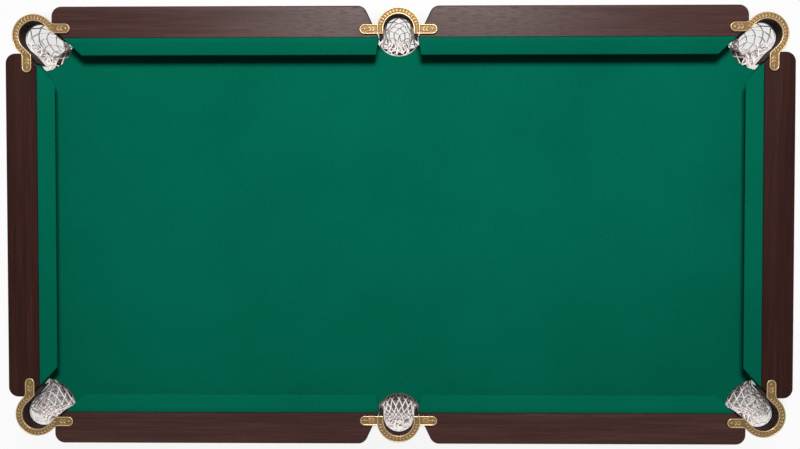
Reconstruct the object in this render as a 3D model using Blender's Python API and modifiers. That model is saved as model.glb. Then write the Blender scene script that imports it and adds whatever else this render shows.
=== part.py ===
"""Folding pool table: a one-piece bed with six rails and cast pocket irons on two fold-away leg frames.

Metres, +Z up. The origin is on the floor under the middle of the bed, +X runs along the table.
"""

import math

import bmesh
import bpy
from mathutils import Matrix, Vector

# Playing field, cushions and rails
PLAY_LENGTH = 1.680
PLAY_WIDTH = 0.830
CUSHION_WIDTH = 0.043
CUSHION_TOP = 0.0425
CUSHION_FOOT = 0.008
CUSHION_FOOT_WIDTH = 0.013
NOSE_HEIGHT = 0.0365
NOSE_RADIUS = 0.0025
RAIL_TOP = 0.800
RAIL_WIDTH = 0.076
RAIL_HEIGHT = 0.0437
RAIL_ROUND = 0.004
RAIL_CORNER_RADIUS = 0.024

# Pocket openings between the rails
CORNER_MOUTH = 0.067
CORNER_THROAT = 0.021
CORNER_END_OUT = 0.0055
MIDDLE_MOUTH = 0.055
MIDDLE_THROAT = 0.048
MIDDLE_FLARE = 0.036

# Bed
CLOTH_THICKNESS = 0.001
BED_THICKNESS = 0.018
BED_UNDER_RAIL = 0.061
CORNER_BED_CUT = 0.080
MIDDLE_BED_CUT = 0.059

# Pocket irons and nets
CORNER_POCKET_OUT = 0.047
MIDDLE_POCKET_OUT = 0.061
POCKET_RADIUS = 0.037
BAND_WIDTH = 0.016
ARM_WIDTH = 0.023
CORNER_ARM_SHIFT = 0.018
CORNER_ARM_REACH = 0.088
MIDDLE_ARM_REACH = 0.094
IRON_THICKNESS = 0.005
IRON_BORDER = 0.003
IRON_RECESS = 0.0012
IRON_WALL = 0.003
IRON_WALL_INSET = 0.001
IRON_WALL_DEPTH = 0.050
IRON_WALL_LEG = 0.011
NET_LAP = 0.006
NET_WALL = 0.002
NET_DEPTH = 0.150
NET_INWARD = 0.0295
NET_FULLNESS = 5.0

# Apron and bearers under the bed
APRON_THICKNESS = 0.036
APRON_DEPTH = 0.110
APRON_OUT = 0.030
WELL_RADIUS = 0.0305
CORNER_FUNNEL_DEPTH = 0.060
MIDDLE_FUNNEL_DEPTH = 0.042
CORNER_BLOCK_LEG = 0.050
CORNER_BLOCK_DEPTH = 0.070
BEARER_WIDTH = 0.090
BEARER_THICKNESS = 0.018

# Leg frames
AXIS_INSET = 0.114
BRACKET_SHEET = 0.003
BRACKET_LENGTH = 0.080
BRACKET_LIP = 0.010
AXIS_DROP = 0.032
PIVOT_RADIUS = 0.0127
TUBE_SHEET = 0.002
PIVOT_OVERHANG = 0.012
LEG_SIZE = 0.040
LEG_ROUND = 0.004
LEG_SHEET = 0.002
LEG_END_PLATE = 0.004
LEG_OVER_AXIS = 0.019
LEG_INSET = 0.059
STRETCHER_RADIUS = 0.0127
STRETCHER_DROP = 0.340
FOOT_RADIUS = 0.022
FOOT_HEIGHT = 0.012
FOOT_CHAMFER = 0.003
FOOT_NECK_RADIUS = 0.011
FOOT_STEM_RADIUS = 0.005
FOOT_STEM_LENGTH = 0.034

# Folding stays
STAY_BED_REACH = 0.300
STAY_SHEET = 0.006
STAY_WIDTH = 0.028
STAY_EYE_WALL = 0.007
STAY_PIN_RADIUS = 0.005
KNEE_GAP = 0.0008
KNEE_HEAD_RADIUS = 0.009
KNEE_HEAD_HEIGHT = 0.003
LUG_SHEET = 0.004
LUG_BASE_LENGTH = 0.080
LUG_BASE_WIDTH = 0.040

# Fits
SEAT = 0.0003
RUNNING = 0.0004
NET_CLEARANCE = 0.0005
OVERCUT = 0.010
WELD = 1e-6

# Facets
ROUND_STEPS = 24
FILLET_STEPS = 4
TUBE_STEPS = 2
EDGE_STEPS = 2
FOOT_STEPS = 16
POCKET_STEPS = 9
TIP_STEPS = 6
NET_STEPS = 20
NET_RINGS = (0.0, 0.30, 0.55, 0.78, 0.93, 0.99)
SMOOTH_UNDER = 32.0

# Heights, from the rail top down
RAIL_BOTTOM = RAIL_TOP - RAIL_HEIGHT
CLOTH_TOP = RAIL_BOTTOM - SEAT
BED_TOP = CLOTH_TOP - CLOTH_THICKNESS - SEAT
BED_BOTTOM = BED_TOP - BED_THICKNESS
APRON_TOP = BED_BOTTOM - SEAT
APRON_BOTTOM = APRON_TOP - APRON_DEPTH
BEARER_BOTTOM = APRON_TOP - BEARER_THICKNESS
BRACKET_TOP = BEARER_BOTTOM - SEAT
AXIS_HEIGHT = BRACKET_TOP - BRACKET_SHEET - AXIS_DROP

# Places in plan
HALF_LENGTH = PLAY_LENGTH / 2
HALF_WIDTH = PLAY_WIDTH / 2
RAIL_INNER = CUSHION_WIDTH
RAIL_OUTER = CUSHION_WIDTH + RAIL_WIDTH
APRON_IN = APRON_OUT - APRON_THICKNESS
AXIS_X = HALF_LENGTH + APRON_IN - AXIS_INSET
LEG_Y = HALF_WIDTH + APRON_IN - LEG_INSET
IRON_WALL_RADIUS = POCKET_RADIUS + IRON_WALL_INSET

COLOURS = {
    "wood": ((0.055, 0.024, 0.019), 0.42, 0.0),
    "cloth": ((0.002, 0.115, 0.072), 0.95, 0.0),
    "brass": ((0.40, 0.25, 0.10), 0.38, 1.0),
    "net": ((0.80, 0.76, 0.72), 0.85, 0.0),
    "board": ((0.30, 0.20, 0.12), 0.75, 0.0),
    "steel": ((0.020, 0.020, 0.022), 0.45, 0.2),
    "zinc": ((0.55, 0.56, 0.58), 0.35, 1.0),
    "plastic": ((0.015, 0.015, 0.016), 0.60, 0.0),
}


def clear_scene():
    for old in list(bpy.data.objects):
        bpy.data.objects.remove(old)


def collection(name):
    made = bpy.data.collections.new(name)
    bpy.context.scene.collection.children.link(made)
    return made


def material(name):
    colour, roughness, metallic = COLOURS[name]
    made = bpy.data.materials.new(name)
    made.use_nodes = True
    shader = made.node_tree.nodes["Principled BSDF"]
    shader.inputs["Base Color"].default_value = (*colour, 1.0)
    shader.inputs["Roughness"].default_value = roughness
    shader.inputs["Metallic"].default_value = metallic
    return made


def evaluated_mesh(obj):
    """The object's mesh with its modifiers applied, welded and facing out. The object is removed."""
    graph = bpy.context.evaluated_depsgraph_get()
    mesh = bpy.data.meshes.new_from_object(obj.evaluated_get(graph))
    bpy.data.objects.remove(obj)
    return faced_out(mesh)


def faced_out(mesh):
    """The mesh with doubled points welded and its faces pointing out."""
    welded = bmesh.new()
    welded.from_mesh(mesh)
    bmesh.ops.remove_doubles(welded, verts=welded.verts, dist=WELD)
    bmesh.ops.recalc_face_normals(welded, faces=welded.faces)
    welded.to_mesh(mesh)
    welded.free()
    return mesh


def loose_object(data):
    made = bpy.data.objects.new("work", data)
    bpy.context.scene.collection.objects.link(made)
    return made


def plate(outlines, bottom, top):
    """A flat plate in XY from closed outlines, the later ones being holes in the first."""
    curve = bpy.data.curves.new("outline", "CURVE")
    curve.dimensions = "2D"
    curve.fill_mode = "BOTH"
    curve.extrude = (top - bottom) / 2
    for outline in outlines:
        spline = curve.splines.new("POLY")
        spline.points.add(len(outline) - 1)
        for point, (x, y) in zip(spline.points, outline):
            point.co = (x, y, 0.0, 1.0)
        spline.use_cyclic_u = True
    mesh = evaluated_mesh(loose_object(curve))
    mesh.transform(Matrix.Translation((0.0, 0.0, (top + bottom) / 2)))
    return mesh


def turned(profile, steps):
    """A solid of revolution about Z from a profile of (radius, height), axis to axis, top first."""
    line = bpy.data.meshes.new("profile")
    points = [(radius, 0.0, height) for radius, height in profile]
    line.from_pydata(points, [(i, i + 1) for i in range(len(points) - 1)], [])
    work = loose_object(line)
    screw = work.modifiers.new("turn", "SCREW")
    screw.steps = steps
    screw.render_steps = steps
    screw.use_merge_vertices = True
    screw.merge_threshold = WELD
    return evaluated_mesh(work)


def combined(mesh, tools, operation):
    """The mesh after one Boolean with each tool mesh in turn."""
    for tool in tools:
        work = loose_object(mesh)
        other = loose_object(tool)
        boolean = work.modifiers.new("cut", "BOOLEAN")
        boolean.operation = operation
        boolean.object = other
        mesh = evaluated_mesh(work)
        bpy.data.objects.remove(other)
    return mesh


def moved(mesh, matrix):
    copy = mesh.copy()
    copy.transform(matrix)
    return copy


def placed(name, mesh, look, matrix=Matrix(), parent=None):
    mesh.name = name
    if not mesh.materials:
        mesh.materials.append(look)
    mesh.shade_smooth()
    mesh.set_sharp_from_angle(angle=math.radians(SMOOTH_UNDER))
    made = bpy.data.objects.new(name, mesh)
    parts.objects.link(made)
    made.parent = parent
    made.matrix_local = matrix
    return made


def turn(degrees, axis):
    return Matrix.Rotation(math.radians(degrees), 4, axis)


def shift(x, y, z):
    return Matrix.Translation((x, y, z))


def arc(centre, radius, start, end, steps):
    """Points along an arc, angles in degrees, both ends included."""
    points = []
    for i in range(steps + 1):
        angle = math.radians(start + (end - start) * i / steps)
        points.append((centre[0] + radius * math.cos(angle), centre[1] + radius * math.sin(angle)))
    return points


def circle(centre, radius, steps=ROUND_STEPS):
    return arc(centre, radius, 0.0, 360.0, steps)[:-1]


def filleted(corners, steps=FILLET_STEPS):
    """An outline from corners of (x, y, radius), with an arc at each corner that has a radius."""
    outline = []
    for i, (x, y, radius) in enumerate(corners):
        here = Vector((x, y))
        if radius <= 0.0:
            outline.append((x, y))
            continue
        before = (Vector(corners[i - 1][:2]) - here).normalized()
        after = (Vector(corners[(i + 1) % len(corners)][:2]) - here).normalized()
        half = before.angle(after) / 2
        centre = here + (before + after).normalized() * radius / math.sin(half)
        first = here + before * radius / math.tan(half) - centre
        last = here + after * radius / math.tan(half) - centre
        sweep = math.degrees(first.angle_signed(last))
        start = math.degrees(math.atan2(first.y, first.x))
        outline += arc(centre, radius, start, start - sweep, steps)
    return outline


def rounded_square(size, radius):
    half = size / 2
    corners = [(half, half, radius), (-half, half, radius), (-half, -half, radius), (half, -half, radius)]
    return filleted(corners, TUBE_STEPS)


def pocket_places():
    """Name, kind and placing matrix of each pocket. Local +Y points away from the bed."""
    corner_x = HALF_LENGTH + CORNER_POCKET_OUT
    corner_y = HALF_WIDTH + CORNER_POCKET_OUT
    middle_y = HALF_WIDTH + MIDDLE_POCKET_OUT
    places = []
    for side, row in ((1, "back"), (-1, "front")):
        left = shift(-corner_x, side * corner_y, 0) @ turn(90 - side * 45, "Z")
        middle = shift(0, side * middle_y, 0) @ turn(90 - side * 90, "Z")
        right = shift(corner_x, side * corner_y, 0) @ turn(-90 + side * 45, "Z")
        places.append((f"{row}_left", "corner", left))
        places.append((f"{row}_middle", "middle", middle))
        places.append((f"{row}_right", "corner", right))
    return places


def round_top(mesh, keep_sharp):
    """Rounds the top edges of a rail, apart from those whose ends both satisfy keep_sharp."""
    shaped = bmesh.new()
    shaped.from_mesh(mesh)
    top = max(v.co.z for v in shaped.verts)
    edges = []
    for edge in shaped.edges:
        ends = [v.co for v in edge.verts]
        if all(top - end.z < WELD for end in ends) and len(edge.link_faces) == 2:
            level = all(abs(face.normal.z) > 0.5 for face in edge.link_faces)
            if not level and not all(keep_sharp(end) for end in ends):
                edges.append(edge)
    bmesh.ops.bevel(shaped, geom=edges, offset=RAIL_ROUND, segments=EDGE_STEPS, profile=0.5, affect="EDGES")
    bmesh.ops.recalc_face_normals(shaped, faces=shaped.faces)
    shaped.to_mesh(mesh)
    shaped.free()
    return mesh


def throat_at(out):
    """How far a corner mouth's side lies from the crossing of the nose lines, at a distance out."""
    return CORNER_MOUTH - (CORNER_MOUTH - CORNER_THROAT) * out / CUSHION_WIDTH


def throat_end():
    """The distance out at which a corner mouth's side meets the square end of a rail."""
    return CUSHION_WIDTH * (CORNER_MOUTH + CORNER_END_OUT) / (CORNER_MOUTH - CORNER_THROAT)


def corner_end(half, edge):
    """The corner end of a rail as (along, out, radius), from the outer edge to the inner one."""
    end = half + CORNER_END_OUT
    return [
        (end, edge + RAIL_OUTER, RAIL_CORNER_RADIUS),
        (end, edge + throat_end(), 0.0),
        (half - throat_at(RAIL_INNER), edge + RAIL_INNER, 0.0),
    ]


def long_rail(side):
    """One back rail: side 1 is right of the middle pocket, -1 left of it."""
    corners = corner_end(HALF_LENGTH, HALF_WIDTH) + [
        (MIDDLE_THROAT, HALF_WIDTH + RAIL_INNER, 0.0),
        (MIDDLE_THROAT + MIDDLE_FLARE, HALF_WIDTH + RAIL_OUTER, RAIL_CORNER_RADIUS),
    ]
    outline = [(side * x, y) for x, y in filleted(corners)]
    mesh = plate([outline], RAIL_BOTTOM, RAIL_TOP)
    return round_top(mesh, lambda point: point.y < HALF_WIDTH + RAIL_INNER + WELD)


def end_rail():
    """The right end rail."""
    upper = [(HALF_LENGTH + out, along, radius) for along, out, radius in corner_end(HALF_WIDTH, 0.0)]
    lower = [(x, -y, radius) for x, y, radius in reversed(upper)]
    mesh = plate([filleted(upper + lower)], RAIL_BOTTOM, RAIL_TOP)
    return round_top(mesh, lambda point: point.x < HALF_LENGTH + RAIL_INNER + WELD)


def cushion_section():
    """The cushion's section as (distance out from the nose, height)."""
    back = CUSHION_WIDTH - SEAT
    nose = arc((NOSE_RADIUS, CLOTH_TOP + NOSE_HEIGHT), NOSE_RADIUS, 225.0, 95.0, FILLET_STEPS)
    foot = CLOTH_TOP + CUSHION_FOOT
    return nose + [(back, CLOTH_TOP + CUSHION_TOP), (back, foot), (back - CUSHION_FOOT_WIDTH, foot)]


def cushion(first_end, last_end):
    """A cushion along X whose ends lie at first_end(out) and last_end(out), out running along +Y."""
    mesh = plate([cushion_section()], 0.0, 1.0)
    for vertex in mesh.vertices:
        out, height, along = vertex.co
        x = last_end(out) if along > 0.5 else first_end(out)
        vertex.co = (x, out, height)
    return faced_out(mesh)


def middle_at(out):
    return MIDDLE_MOUTH - (MIDDLE_MOUTH - MIDDLE_THROAT) * out / CUSHION_WIDTH


def add_rails_and_cushions(wood, cloth):
    half_turn = turn(180, "Z")
    end_mesh = end_rail()
    end_cushion = cushion(lambda out: throat_at(out) - HALF_WIDTH, lambda out: HALF_WIDTH - throat_at(out))
    on_right = shift(HALF_LENGTH, 0, 0) @ turn(-90, "Z")
    for name, spin in (("right", Matrix()), ("left", half_turn)):
        placed(f"rail_{name}", end_mesh.copy(), wood, spin)
        placed(f"cushion_{name}", end_cushion.copy(), cloth, spin @ on_right)
    at_back = shift(0, HALF_WIDTH, 0)
    for side, back_name, front_name in ((1, "back_right", "front_left"), (-1, "back_left", "front_right")):
        rail = long_rail(side)
        rubber = cushion(lambda out: side * middle_at(out),
                         lambda out: side * (HALF_LENGTH - throat_at(out)))
        for name, spin in ((back_name, Matrix()), (front_name, half_turn)):
            placed(f"rail_{name}", rail.copy(), wood, spin)
            placed(f"cushion_{name}", rubber.copy(), cloth, spin @ at_back)


def bed_plate(bottom, top):
    """The bed's plan between two heights, with an opening at each pocket that runs out to the edge."""
    x = HALF_LENGTH + RAIL_INNER + BED_UNDER_RAIL
    y = HALF_WIDTH + RAIL_INNER + BED_UNDER_RAIL
    mesh = plate([[(x, y), (-x, y), (-x, -y), (x, -y)]], bottom, top)
    cutters = []
    for _, kind, matrix in pocket_places():
        radius = CORNER_BED_CUT if kind == "corner" else MIDDLE_BED_CUT
        far = RAIL_OUTER + radius
        wide = radius if kind == "corner" else radius + far * MIDDLE_FLARE / RAIL_WIDTH
        outline = arc((0, 0), radius, 180.0, 360.0, POCKET_STEPS * 2) + [(wide, far), (-wide, far)]
        cutters.append(moved(plate([outline], bottom - OVERCUT, top + OVERCUT), matrix))
    return combined(mesh, cutters, "DIFFERENCE")


def iron_outline(kind, inset):
    """Plan of a pocket iron drawn in by inset: a half ring round the pocket and an arm on each rail."""
    inner = POCKET_RADIUS + inset
    outer = POCKET_RADIUS + BAND_WIDTH - inset
    half = ARM_WIDTH / 2 - inset
    if kind == "corner":
        root = math.sqrt(2)
        tip_along = CORNER_ARM_REACH - ARM_WIDTH / 2
        tip = ((tip_along + CORNER_ARM_SHIFT) / root, (CORNER_ARM_SHIFT - tip_along) / root)
        upper = [(outer, root * (CORNER_ARM_SHIFT + half) - outer)]
        lower = (inner, root * (CORNER_ARM_SHIFT - half) - inner)
        heading, ring_end = -45.0, 0.0
    else:
        tip = (MIDDLE_ARM_REACH - ARM_WIDTH / 2, 0.0)
        upper = []
        lower = (inner, -half)
        heading, ring_end = 0.0, math.degrees(math.asin(half / outer))
    right = arc((0, 0), outer, 90.0, ring_end, POCKET_STEPS) + upper
    right += arc(tip, half, heading + 90.0, heading - 90.0, TIP_STEPS) + [lower]
    right += arc((0, 0), inner, 0.0, 90.0, POCKET_STEPS)
    return right + [(-x, y) for x, y in reversed(right[1:-1])]


def pocket_iron(kind):
    """A cast iron: flat band with a raised border, and a wall that hangs into the pocket."""
    under = RAIL_TOP + SEAT
    top = under + IRON_THICKNESS
    band = plate([iron_outline(kind, 0.0)], under, top)
    recess = plate([iron_outline(kind, IRON_BORDER)], top - IRON_RECESS, top + OVERCUT)
    outer = IRON_WALL_RADIUS + IRON_WALL
    wall_outline = arc((0, 0), outer, 0.0, 180.0, POCKET_STEPS * 2)
    wall_outline += [(-outer, -IRON_WALL_LEG), (-IRON_WALL_RADIUS, -IRON_WALL_LEG)]
    wall_outline += arc((0, 0), IRON_WALL_RADIUS, 180.0, 0.0, POCKET_STEPS * 2)
    wall_outline += [(IRON_WALL_RADIUS, -IRON_WALL_LEG), (outer, -IRON_WALL_LEG)]
    wall = plate([wall_outline], under - IRON_WALL_DEPTH, under + IRON_THICKNESS / 2)
    return combined(combined(band, [wall], "UNION"), [recess], "DIFFERENCE")


def funnel_depth(kind):
    return CORNER_FUNNEL_DEPTH if kind == "corner" else MIDDLE_FUNNEL_DEPTH


def pocket_net(kind):
    """A hanging bag with a sloping mouth: high inside the iron's wall, low where balls roll in."""
    radius = IRON_WALL_RADIUS - NET_CLEARANCE
    mouth = RAIL_TOP + SEAT - IRON_WALL_DEPTH + NET_LAP
    outer = [(math.sqrt(1.0 - down ** NET_FULLNESS), down) for down in NET_RINGS]
    profile = [(radius * share - NET_WALL, mouth - NET_DEPTH * down) for share, down in outer]
    inside = [(0.0, mouth - NET_DEPTH + NET_WALL)] + list(reversed(profile))
    outside = [(radius * share, mouth - NET_DEPTH * down - NET_WALL * down) for share, down in outer]
    mesh = turned(inside + outside + [(0.0, mouth - NET_DEPTH - NET_WALL)], NET_STEPS)
    drop = mouth - (APRON_TOP - funnel_depth(kind))
    for vertex in mesh.vertices:
        x, y, z = vertex.co
        height = max(0.0, (z - mouth) / NET_DEPTH + 1.0)
        vertex.co.z = z - drop * height * height * (radius - y) / (2 * radius)
        if y < 0.0:
            vertex.co.y = y * NET_INWARD / radius
    return mesh


def funnel(kind, matrix):
    """What a pocket takes out of the wood below the bed: a funnel that narrows into a round well."""
    wide = CORNER_BED_CUT if kind == "corner" else MIDDLE_BED_CUT
    high = APRON_TOP + OVERCUT
    low = APRON_BOTTOM - OVERCUT
    throat = APRON_TOP - funnel_depth(kind)
    upper = [(0, high), (wide, high), (wide, APRON_TOP)]
    lower = [(WELL_RADIUS, throat), (WELL_RADIUS, low), (0, low)]
    return moved(turned(upper + lower, ROUND_STEPS), matrix)


def box(low, high):
    """A box between two opposite corners."""
    made = bmesh.new()
    bmesh.ops.create_cube(made, size=1.0)
    size = Vector(high) - Vector(low)
    middle = (Vector(high) + Vector(low)) / 2
    stretch = Matrix.Translation(middle) @ Matrix.Diagonal((*size, 1.0))
    bmesh.ops.transform(made, matrix=stretch, verts=made.verts)
    mesh = bpy.data.meshes.new("box")
    made.to_mesh(mesh)
    made.free()
    return mesh


def bearer(x):
    """A board across the underside of the bed, from apron to apron."""
    end = HALF_WIDTH + APRON_IN - SEAT
    half = BEARER_WIDTH / 2
    return box((x - half, -end, BEARER_BOTTOM), (x + half, end, APRON_TOP))


def add_apron(wood, board):
    funnels = {name: funnel(kind, matrix) for name, kind, matrix in pocket_places()}
    outer_x, outer_y = HALF_LENGTH + APRON_OUT, HALF_WIDTH + APRON_OUT
    inner_x, inner_y = HALF_LENGTH + APRON_IN, HALF_WIDTH + APRON_IN
    for side, row in ((1, "back"), (-1, "front")):
        plank = box((-outer_x, min(side * inner_y, side * outer_y), APRON_BOTTOM),
                    (outer_x, max(side * inner_y, side * outer_y), APRON_TOP))
        wells = [funnels[f"{row}_{place}"] for place in ("left", "middle", "right")]
        placed(f"side_apron_{row}", combined(plank, wells, "DIFFERENCE"), wood)
    for side, name in ((1, "right"), (-1, "left")):
        plank = box((min(side * inner_x, side * outer_x), SEAT - inner_y, APRON_BOTTOM),
                    (max(side * inner_x, side * outer_x), inner_y - SEAT, APRON_TOP))
        wells = [funnels[f"{row}_{name}"] for row in ("back", "front")]
        placed(f"end_apron_{name}", combined(plank, wells, "DIFFERENCE"), wood)
        for depth, row in ((1, "back"), (-1, "front")):
            x, y = side * (inner_x - SEAT), depth * (inner_y - SEAT)
            outline = [(x, y), (x - side * CORNER_BLOCK_LEG, y), (x, y - depth * CORNER_BLOCK_LEG)]
            block = plate([outline], APRON_TOP - CORNER_BLOCK_DEPTH, APRON_TOP)
            block = combined(block, [funnels[f"{row}_{name}"]], "DIFFERENCE")
            placed(f"corner_block_{row}_{name}", block, board)
    placed("middle_bearer", bearer(0.0), board)


def tube(radius, length, sheet):
    """A round tube along Y, open at both ends."""
    mesh = plate([circle((0, 0), radius), circle((0, 0), radius - sheet)], -length / 2, length / 2)
    mesh.transform(turn(90, "X"))
    return mesh


def rod(radius, low, high):
    """A round bar along Y between two places."""
    mesh = plate([circle((0, 0), radius)], low, high)
    mesh.transform(turn(-90, "X"))
    return mesh


def leg():
    """A square leg about the fold axis: crossed by the pivot tube, and closed by a drilled plate below."""
    bottom = FOOT_HEIGHT + SEAT - AXIS_HEIGHT
    body = plate([rounded_square(LEG_SIZE, LEG_ROUND)], bottom, LEG_OVER_AXIS)
    hollow_round = LEG_ROUND - LEG_SHEET
    hollow = plate([rounded_square(LEG_SIZE - 2 * LEG_SHEET, hollow_round)], bottom + LEG_END_PLATE,
                   LEG_OVER_AXIS + OVERCUT)
    through = bottom + LEG_END_PLATE + OVERCUT
    stem = plate([circle((0, 0), FOOT_STEM_RADIUS + RUNNING)], bottom - OVERCUT, through)
    cross = rod(PIVOT_RADIUS + SEAT, -LEG_SIZE, LEG_SIZE)
    return combined(body, [hollow, stem, cross], "DIFFERENCE")


def foot():
    """A levelling foot with its origin at the leg's lower end: pad and threaded stem."""
    low = -FOOT_HEIGHT - SEAT
    return turned([
        (0, FOOT_STEM_LENGTH),
        (FOOT_STEM_RADIUS, FOOT_STEM_LENGTH),
        (FOOT_STEM_RADIUS, -SEAT),
        (FOOT_NECK_RADIUS, -SEAT),
        (FOOT_RADIUS, low + 2 * FOOT_CHAMFER),
        (FOOT_RADIUS, low + FOOT_CHAMFER),
        (FOOT_RADIUS - FOOT_CHAMFER, low),
        (0, low),
    ], FOOT_STEPS)


def hinge_bracket():
    """A folded sheet bracket about the fold axis: a plate under the bearer and two cheeks round the leg."""
    top = BRACKET_TOP - AXIS_HEIGHT
    inside = LEG_SIZE / 2 + RUNNING
    outside = inside + BRACKET_SHEET
    half = BRACKET_LENGTH / 2
    lip = PIVOT_RADIUS + BRACKET_LIP
    side_line = arc((0, 0), lip, 180.0, 360.0, POCKET_STEPS) + [(half, top), (-half, top)]
    body = plate([side_line, circle((0, 0), PIVOT_RADIUS + RUNNING)], -outside, outside)
    body.transform(turn(90, "X"))
    between = box((-BRACKET_LENGTH, -inside, -BRACKET_LENGTH),
                  (BRACKET_LENGTH, inside, top - BRACKET_SHEET))
    return combined(body, [between], "DIFFERENCE")


def stay_lengths():
    """Lengths of the lower and upper link: straight when the leg stands, side by side when folded."""
    straight = math.hypot(STRETCHER_DROP, STAY_BED_REACH)
    folded = STRETCHER_DROP - STAY_BED_REACH
    return (straight + folded) / 2, (straight - folded) / 2


def stay_link(length, bore, face, head_side):
    """A flat link along X with an eye at the origin and half of the knee's rivet at its far end."""
    half = STAY_WIDTH / 2
    eye = max(bore + STAY_EYE_WALL, half)
    opening = math.degrees(math.asin(half / eye))
    outline = arc((0, 0), eye, opening, 360.0 - opening, ROUND_STEPS)
    outline += arc((length, 0), half, -90.0, 90.0, TIP_STEPS)
    bar = plate([outline, circle((0, 0), bore)], face, face + STAY_SHEET)
    seat = face + STAY_SHEET if head_side > 0 else face
    sunk = STAY_SHEET / 2
    low = seat - sunk if head_side > 0 else seat - KNEE_HEAD_HEIGHT
    head = plate([circle((length, 0), KNEE_HEAD_RADIUS)], low, low + sunk + KNEE_HEAD_HEIGHT)
    return combined(bar, [head], "UNION")


def stay_bracket():
    """A folded lug under the bed with the upper link's pin, its origin on the pin's axis."""
    near = KNEE_GAP / 2 + STAY_SHEET + RUNNING
    far = near + LUG_SHEET
    top = BED_BOTTOM - SEAT - AXIS_HEIGHT
    half = LUG_BASE_LENGTH / 2
    lip = STAY_PIN_RADIUS + STAY_EYE_WALL
    side_line = arc((0, 0), lip, 180.0, 360.0, POCKET_STEPS) + [(half, top), (-half, top)]
    body = plate([side_line], -near - LUG_BASE_WIDTH, -near)
    body.transform(turn(90, "X"))
    beside = box((-LUG_BASE_LENGTH, far, -LUG_BASE_LENGTH),
                 (LUG_BASE_LENGTH, far + LUG_BASE_WIDTH, top - LUG_SHEET))
    pin = rod(STAY_PIN_RADIUS, KNEE_GAP / 2, far - LUG_SHEET / 2)
    return combined(combined(body, [beside], "DIFFERENCE"), [pin], "UNION")


def add_leg_frames(steel, zinc, plastic, board):
    leg_mesh, foot_mesh, bracket_mesh, lug_mesh = leg(), foot(), hinge_bracket(), stay_bracket()
    pivot_length = 2 * LEG_Y + LEG_SIZE + 2 * (RUNNING + BRACKET_SHEET + PIVOT_OVERHANG)
    pivot = tube(PIVOT_RADIUS, pivot_length, TUBE_SHEET)
    stretcher = tube(STRETCHER_RADIUS, 2 * LEG_Y - LEG_SIZE - 2 * SEAT, TUBE_SHEET)
    lower_length, upper_length = stay_lengths()
    lower = stay_link(lower_length, STRETCHER_RADIUS + RUNNING, -KNEE_GAP / 2 - STAY_SHEET, -1)
    upper = stay_link(upper_length, STAY_PIN_RADIUS + RUNNING, KNEE_GAP / 2, 1)
    for side, name in ((-1, "left"), (1, "right")):
        x = side * AXIS_X
        placed(f"leg_bearer_{name}", bearer(x), board)
        frame = bpy.data.objects.new(f"leg_axis_{name}", None)
        frame.location = (x, 0.0, AXIS_HEIGHT)
        parts.objects.link(frame)
        placed(f"pivot_tube_{name}", pivot.copy(), steel, Matrix(), frame)
        placed(f"stretcher_{name}", stretcher.copy(), steel, shift(0, 0, -STRETCHER_DROP), frame)
        for end, row in ((1, "back"), (-1, "front")):
            at_leg = shift(0, end * LEG_Y, 0)
            placed(f"leg_{name}_{row}", leg_mesh.copy(), steel, at_leg, frame)
            at_foot = at_leg @ shift(0, 0, FOOT_HEIGHT + SEAT - AXIS_HEIGHT)
            placed(f"foot_{name}_{row}", foot_mesh.copy(), plastic, at_foot, frame)
            at_bracket = shift(x, end * LEG_Y, AXIS_HEIGHT)
            placed(f"hinge_bracket_{name}_{row}", bracket_mesh.copy(), zinc, at_bracket)
        on_leg = Vector((x, 0.0, AXIS_HEIGHT - STRETCHER_DROP))
        on_bed = Vector((x - side * STAY_BED_REACH, 0.0, AXIS_HEIGHT))
        placed(f"stay_bracket_{name}", lug_mesh.copy(), zinc, Matrix.Translation(on_bed))
        placed(f"stay_lower_{name}", lower.copy(), zinc, link_matrix(on_leg, on_bed))
        placed(f"stay_upper_{name}", upper.copy(), zinc, link_matrix(on_bed, on_leg))


def link_matrix(start, end):
    """Places a link with its eye at start, pointing to end, its flat faces square to Y."""
    along = (end - start).normalized()
    across = Vector((0.0, 1.0, 0.0))
    matrix = Matrix((along, across.cross(along), across)).transposed().to_4x4()
    matrix.translation = start
    return matrix


clear_scene()
parts = collection("folding_pool_table")
looks = {name: material(name) for name in COLOURS}
placed("bed_board", bed_plate(BED_BOTTOM, BED_TOP), looks["board"])
placed("bed_cloth", bed_plate(CLOTH_TOP - CLOTH_THICKNESS, CLOTH_TOP), looks["cloth"])
add_rails_and_cushions(looks["wood"], looks["cloth"])
irons = {kind: pocket_iron(kind) for kind in ("corner", "middle")}
nets = {kind: pocket_net(kind) for kind in ("corner", "middle")}
for pocket, kind, matrix in pocket_places():
    placed(f"pocket_iron_{pocket}", irons[kind].copy(), looks["brass"], matrix)
    placed(f"pocket_net_{pocket}", nets[kind].copy(), looks["net"], matrix)
add_apron(looks["wood"], looks["board"])
add_leg_frames(looks["steel"], looks["zinc"], looks["plastic"], looks["board"])
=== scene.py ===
# Looks of a folding pool table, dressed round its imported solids. Metres, +Z up, as in the frame.
import math
import random

import bmesh
import bpy
from mathutils import Matrix, Vector


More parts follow.
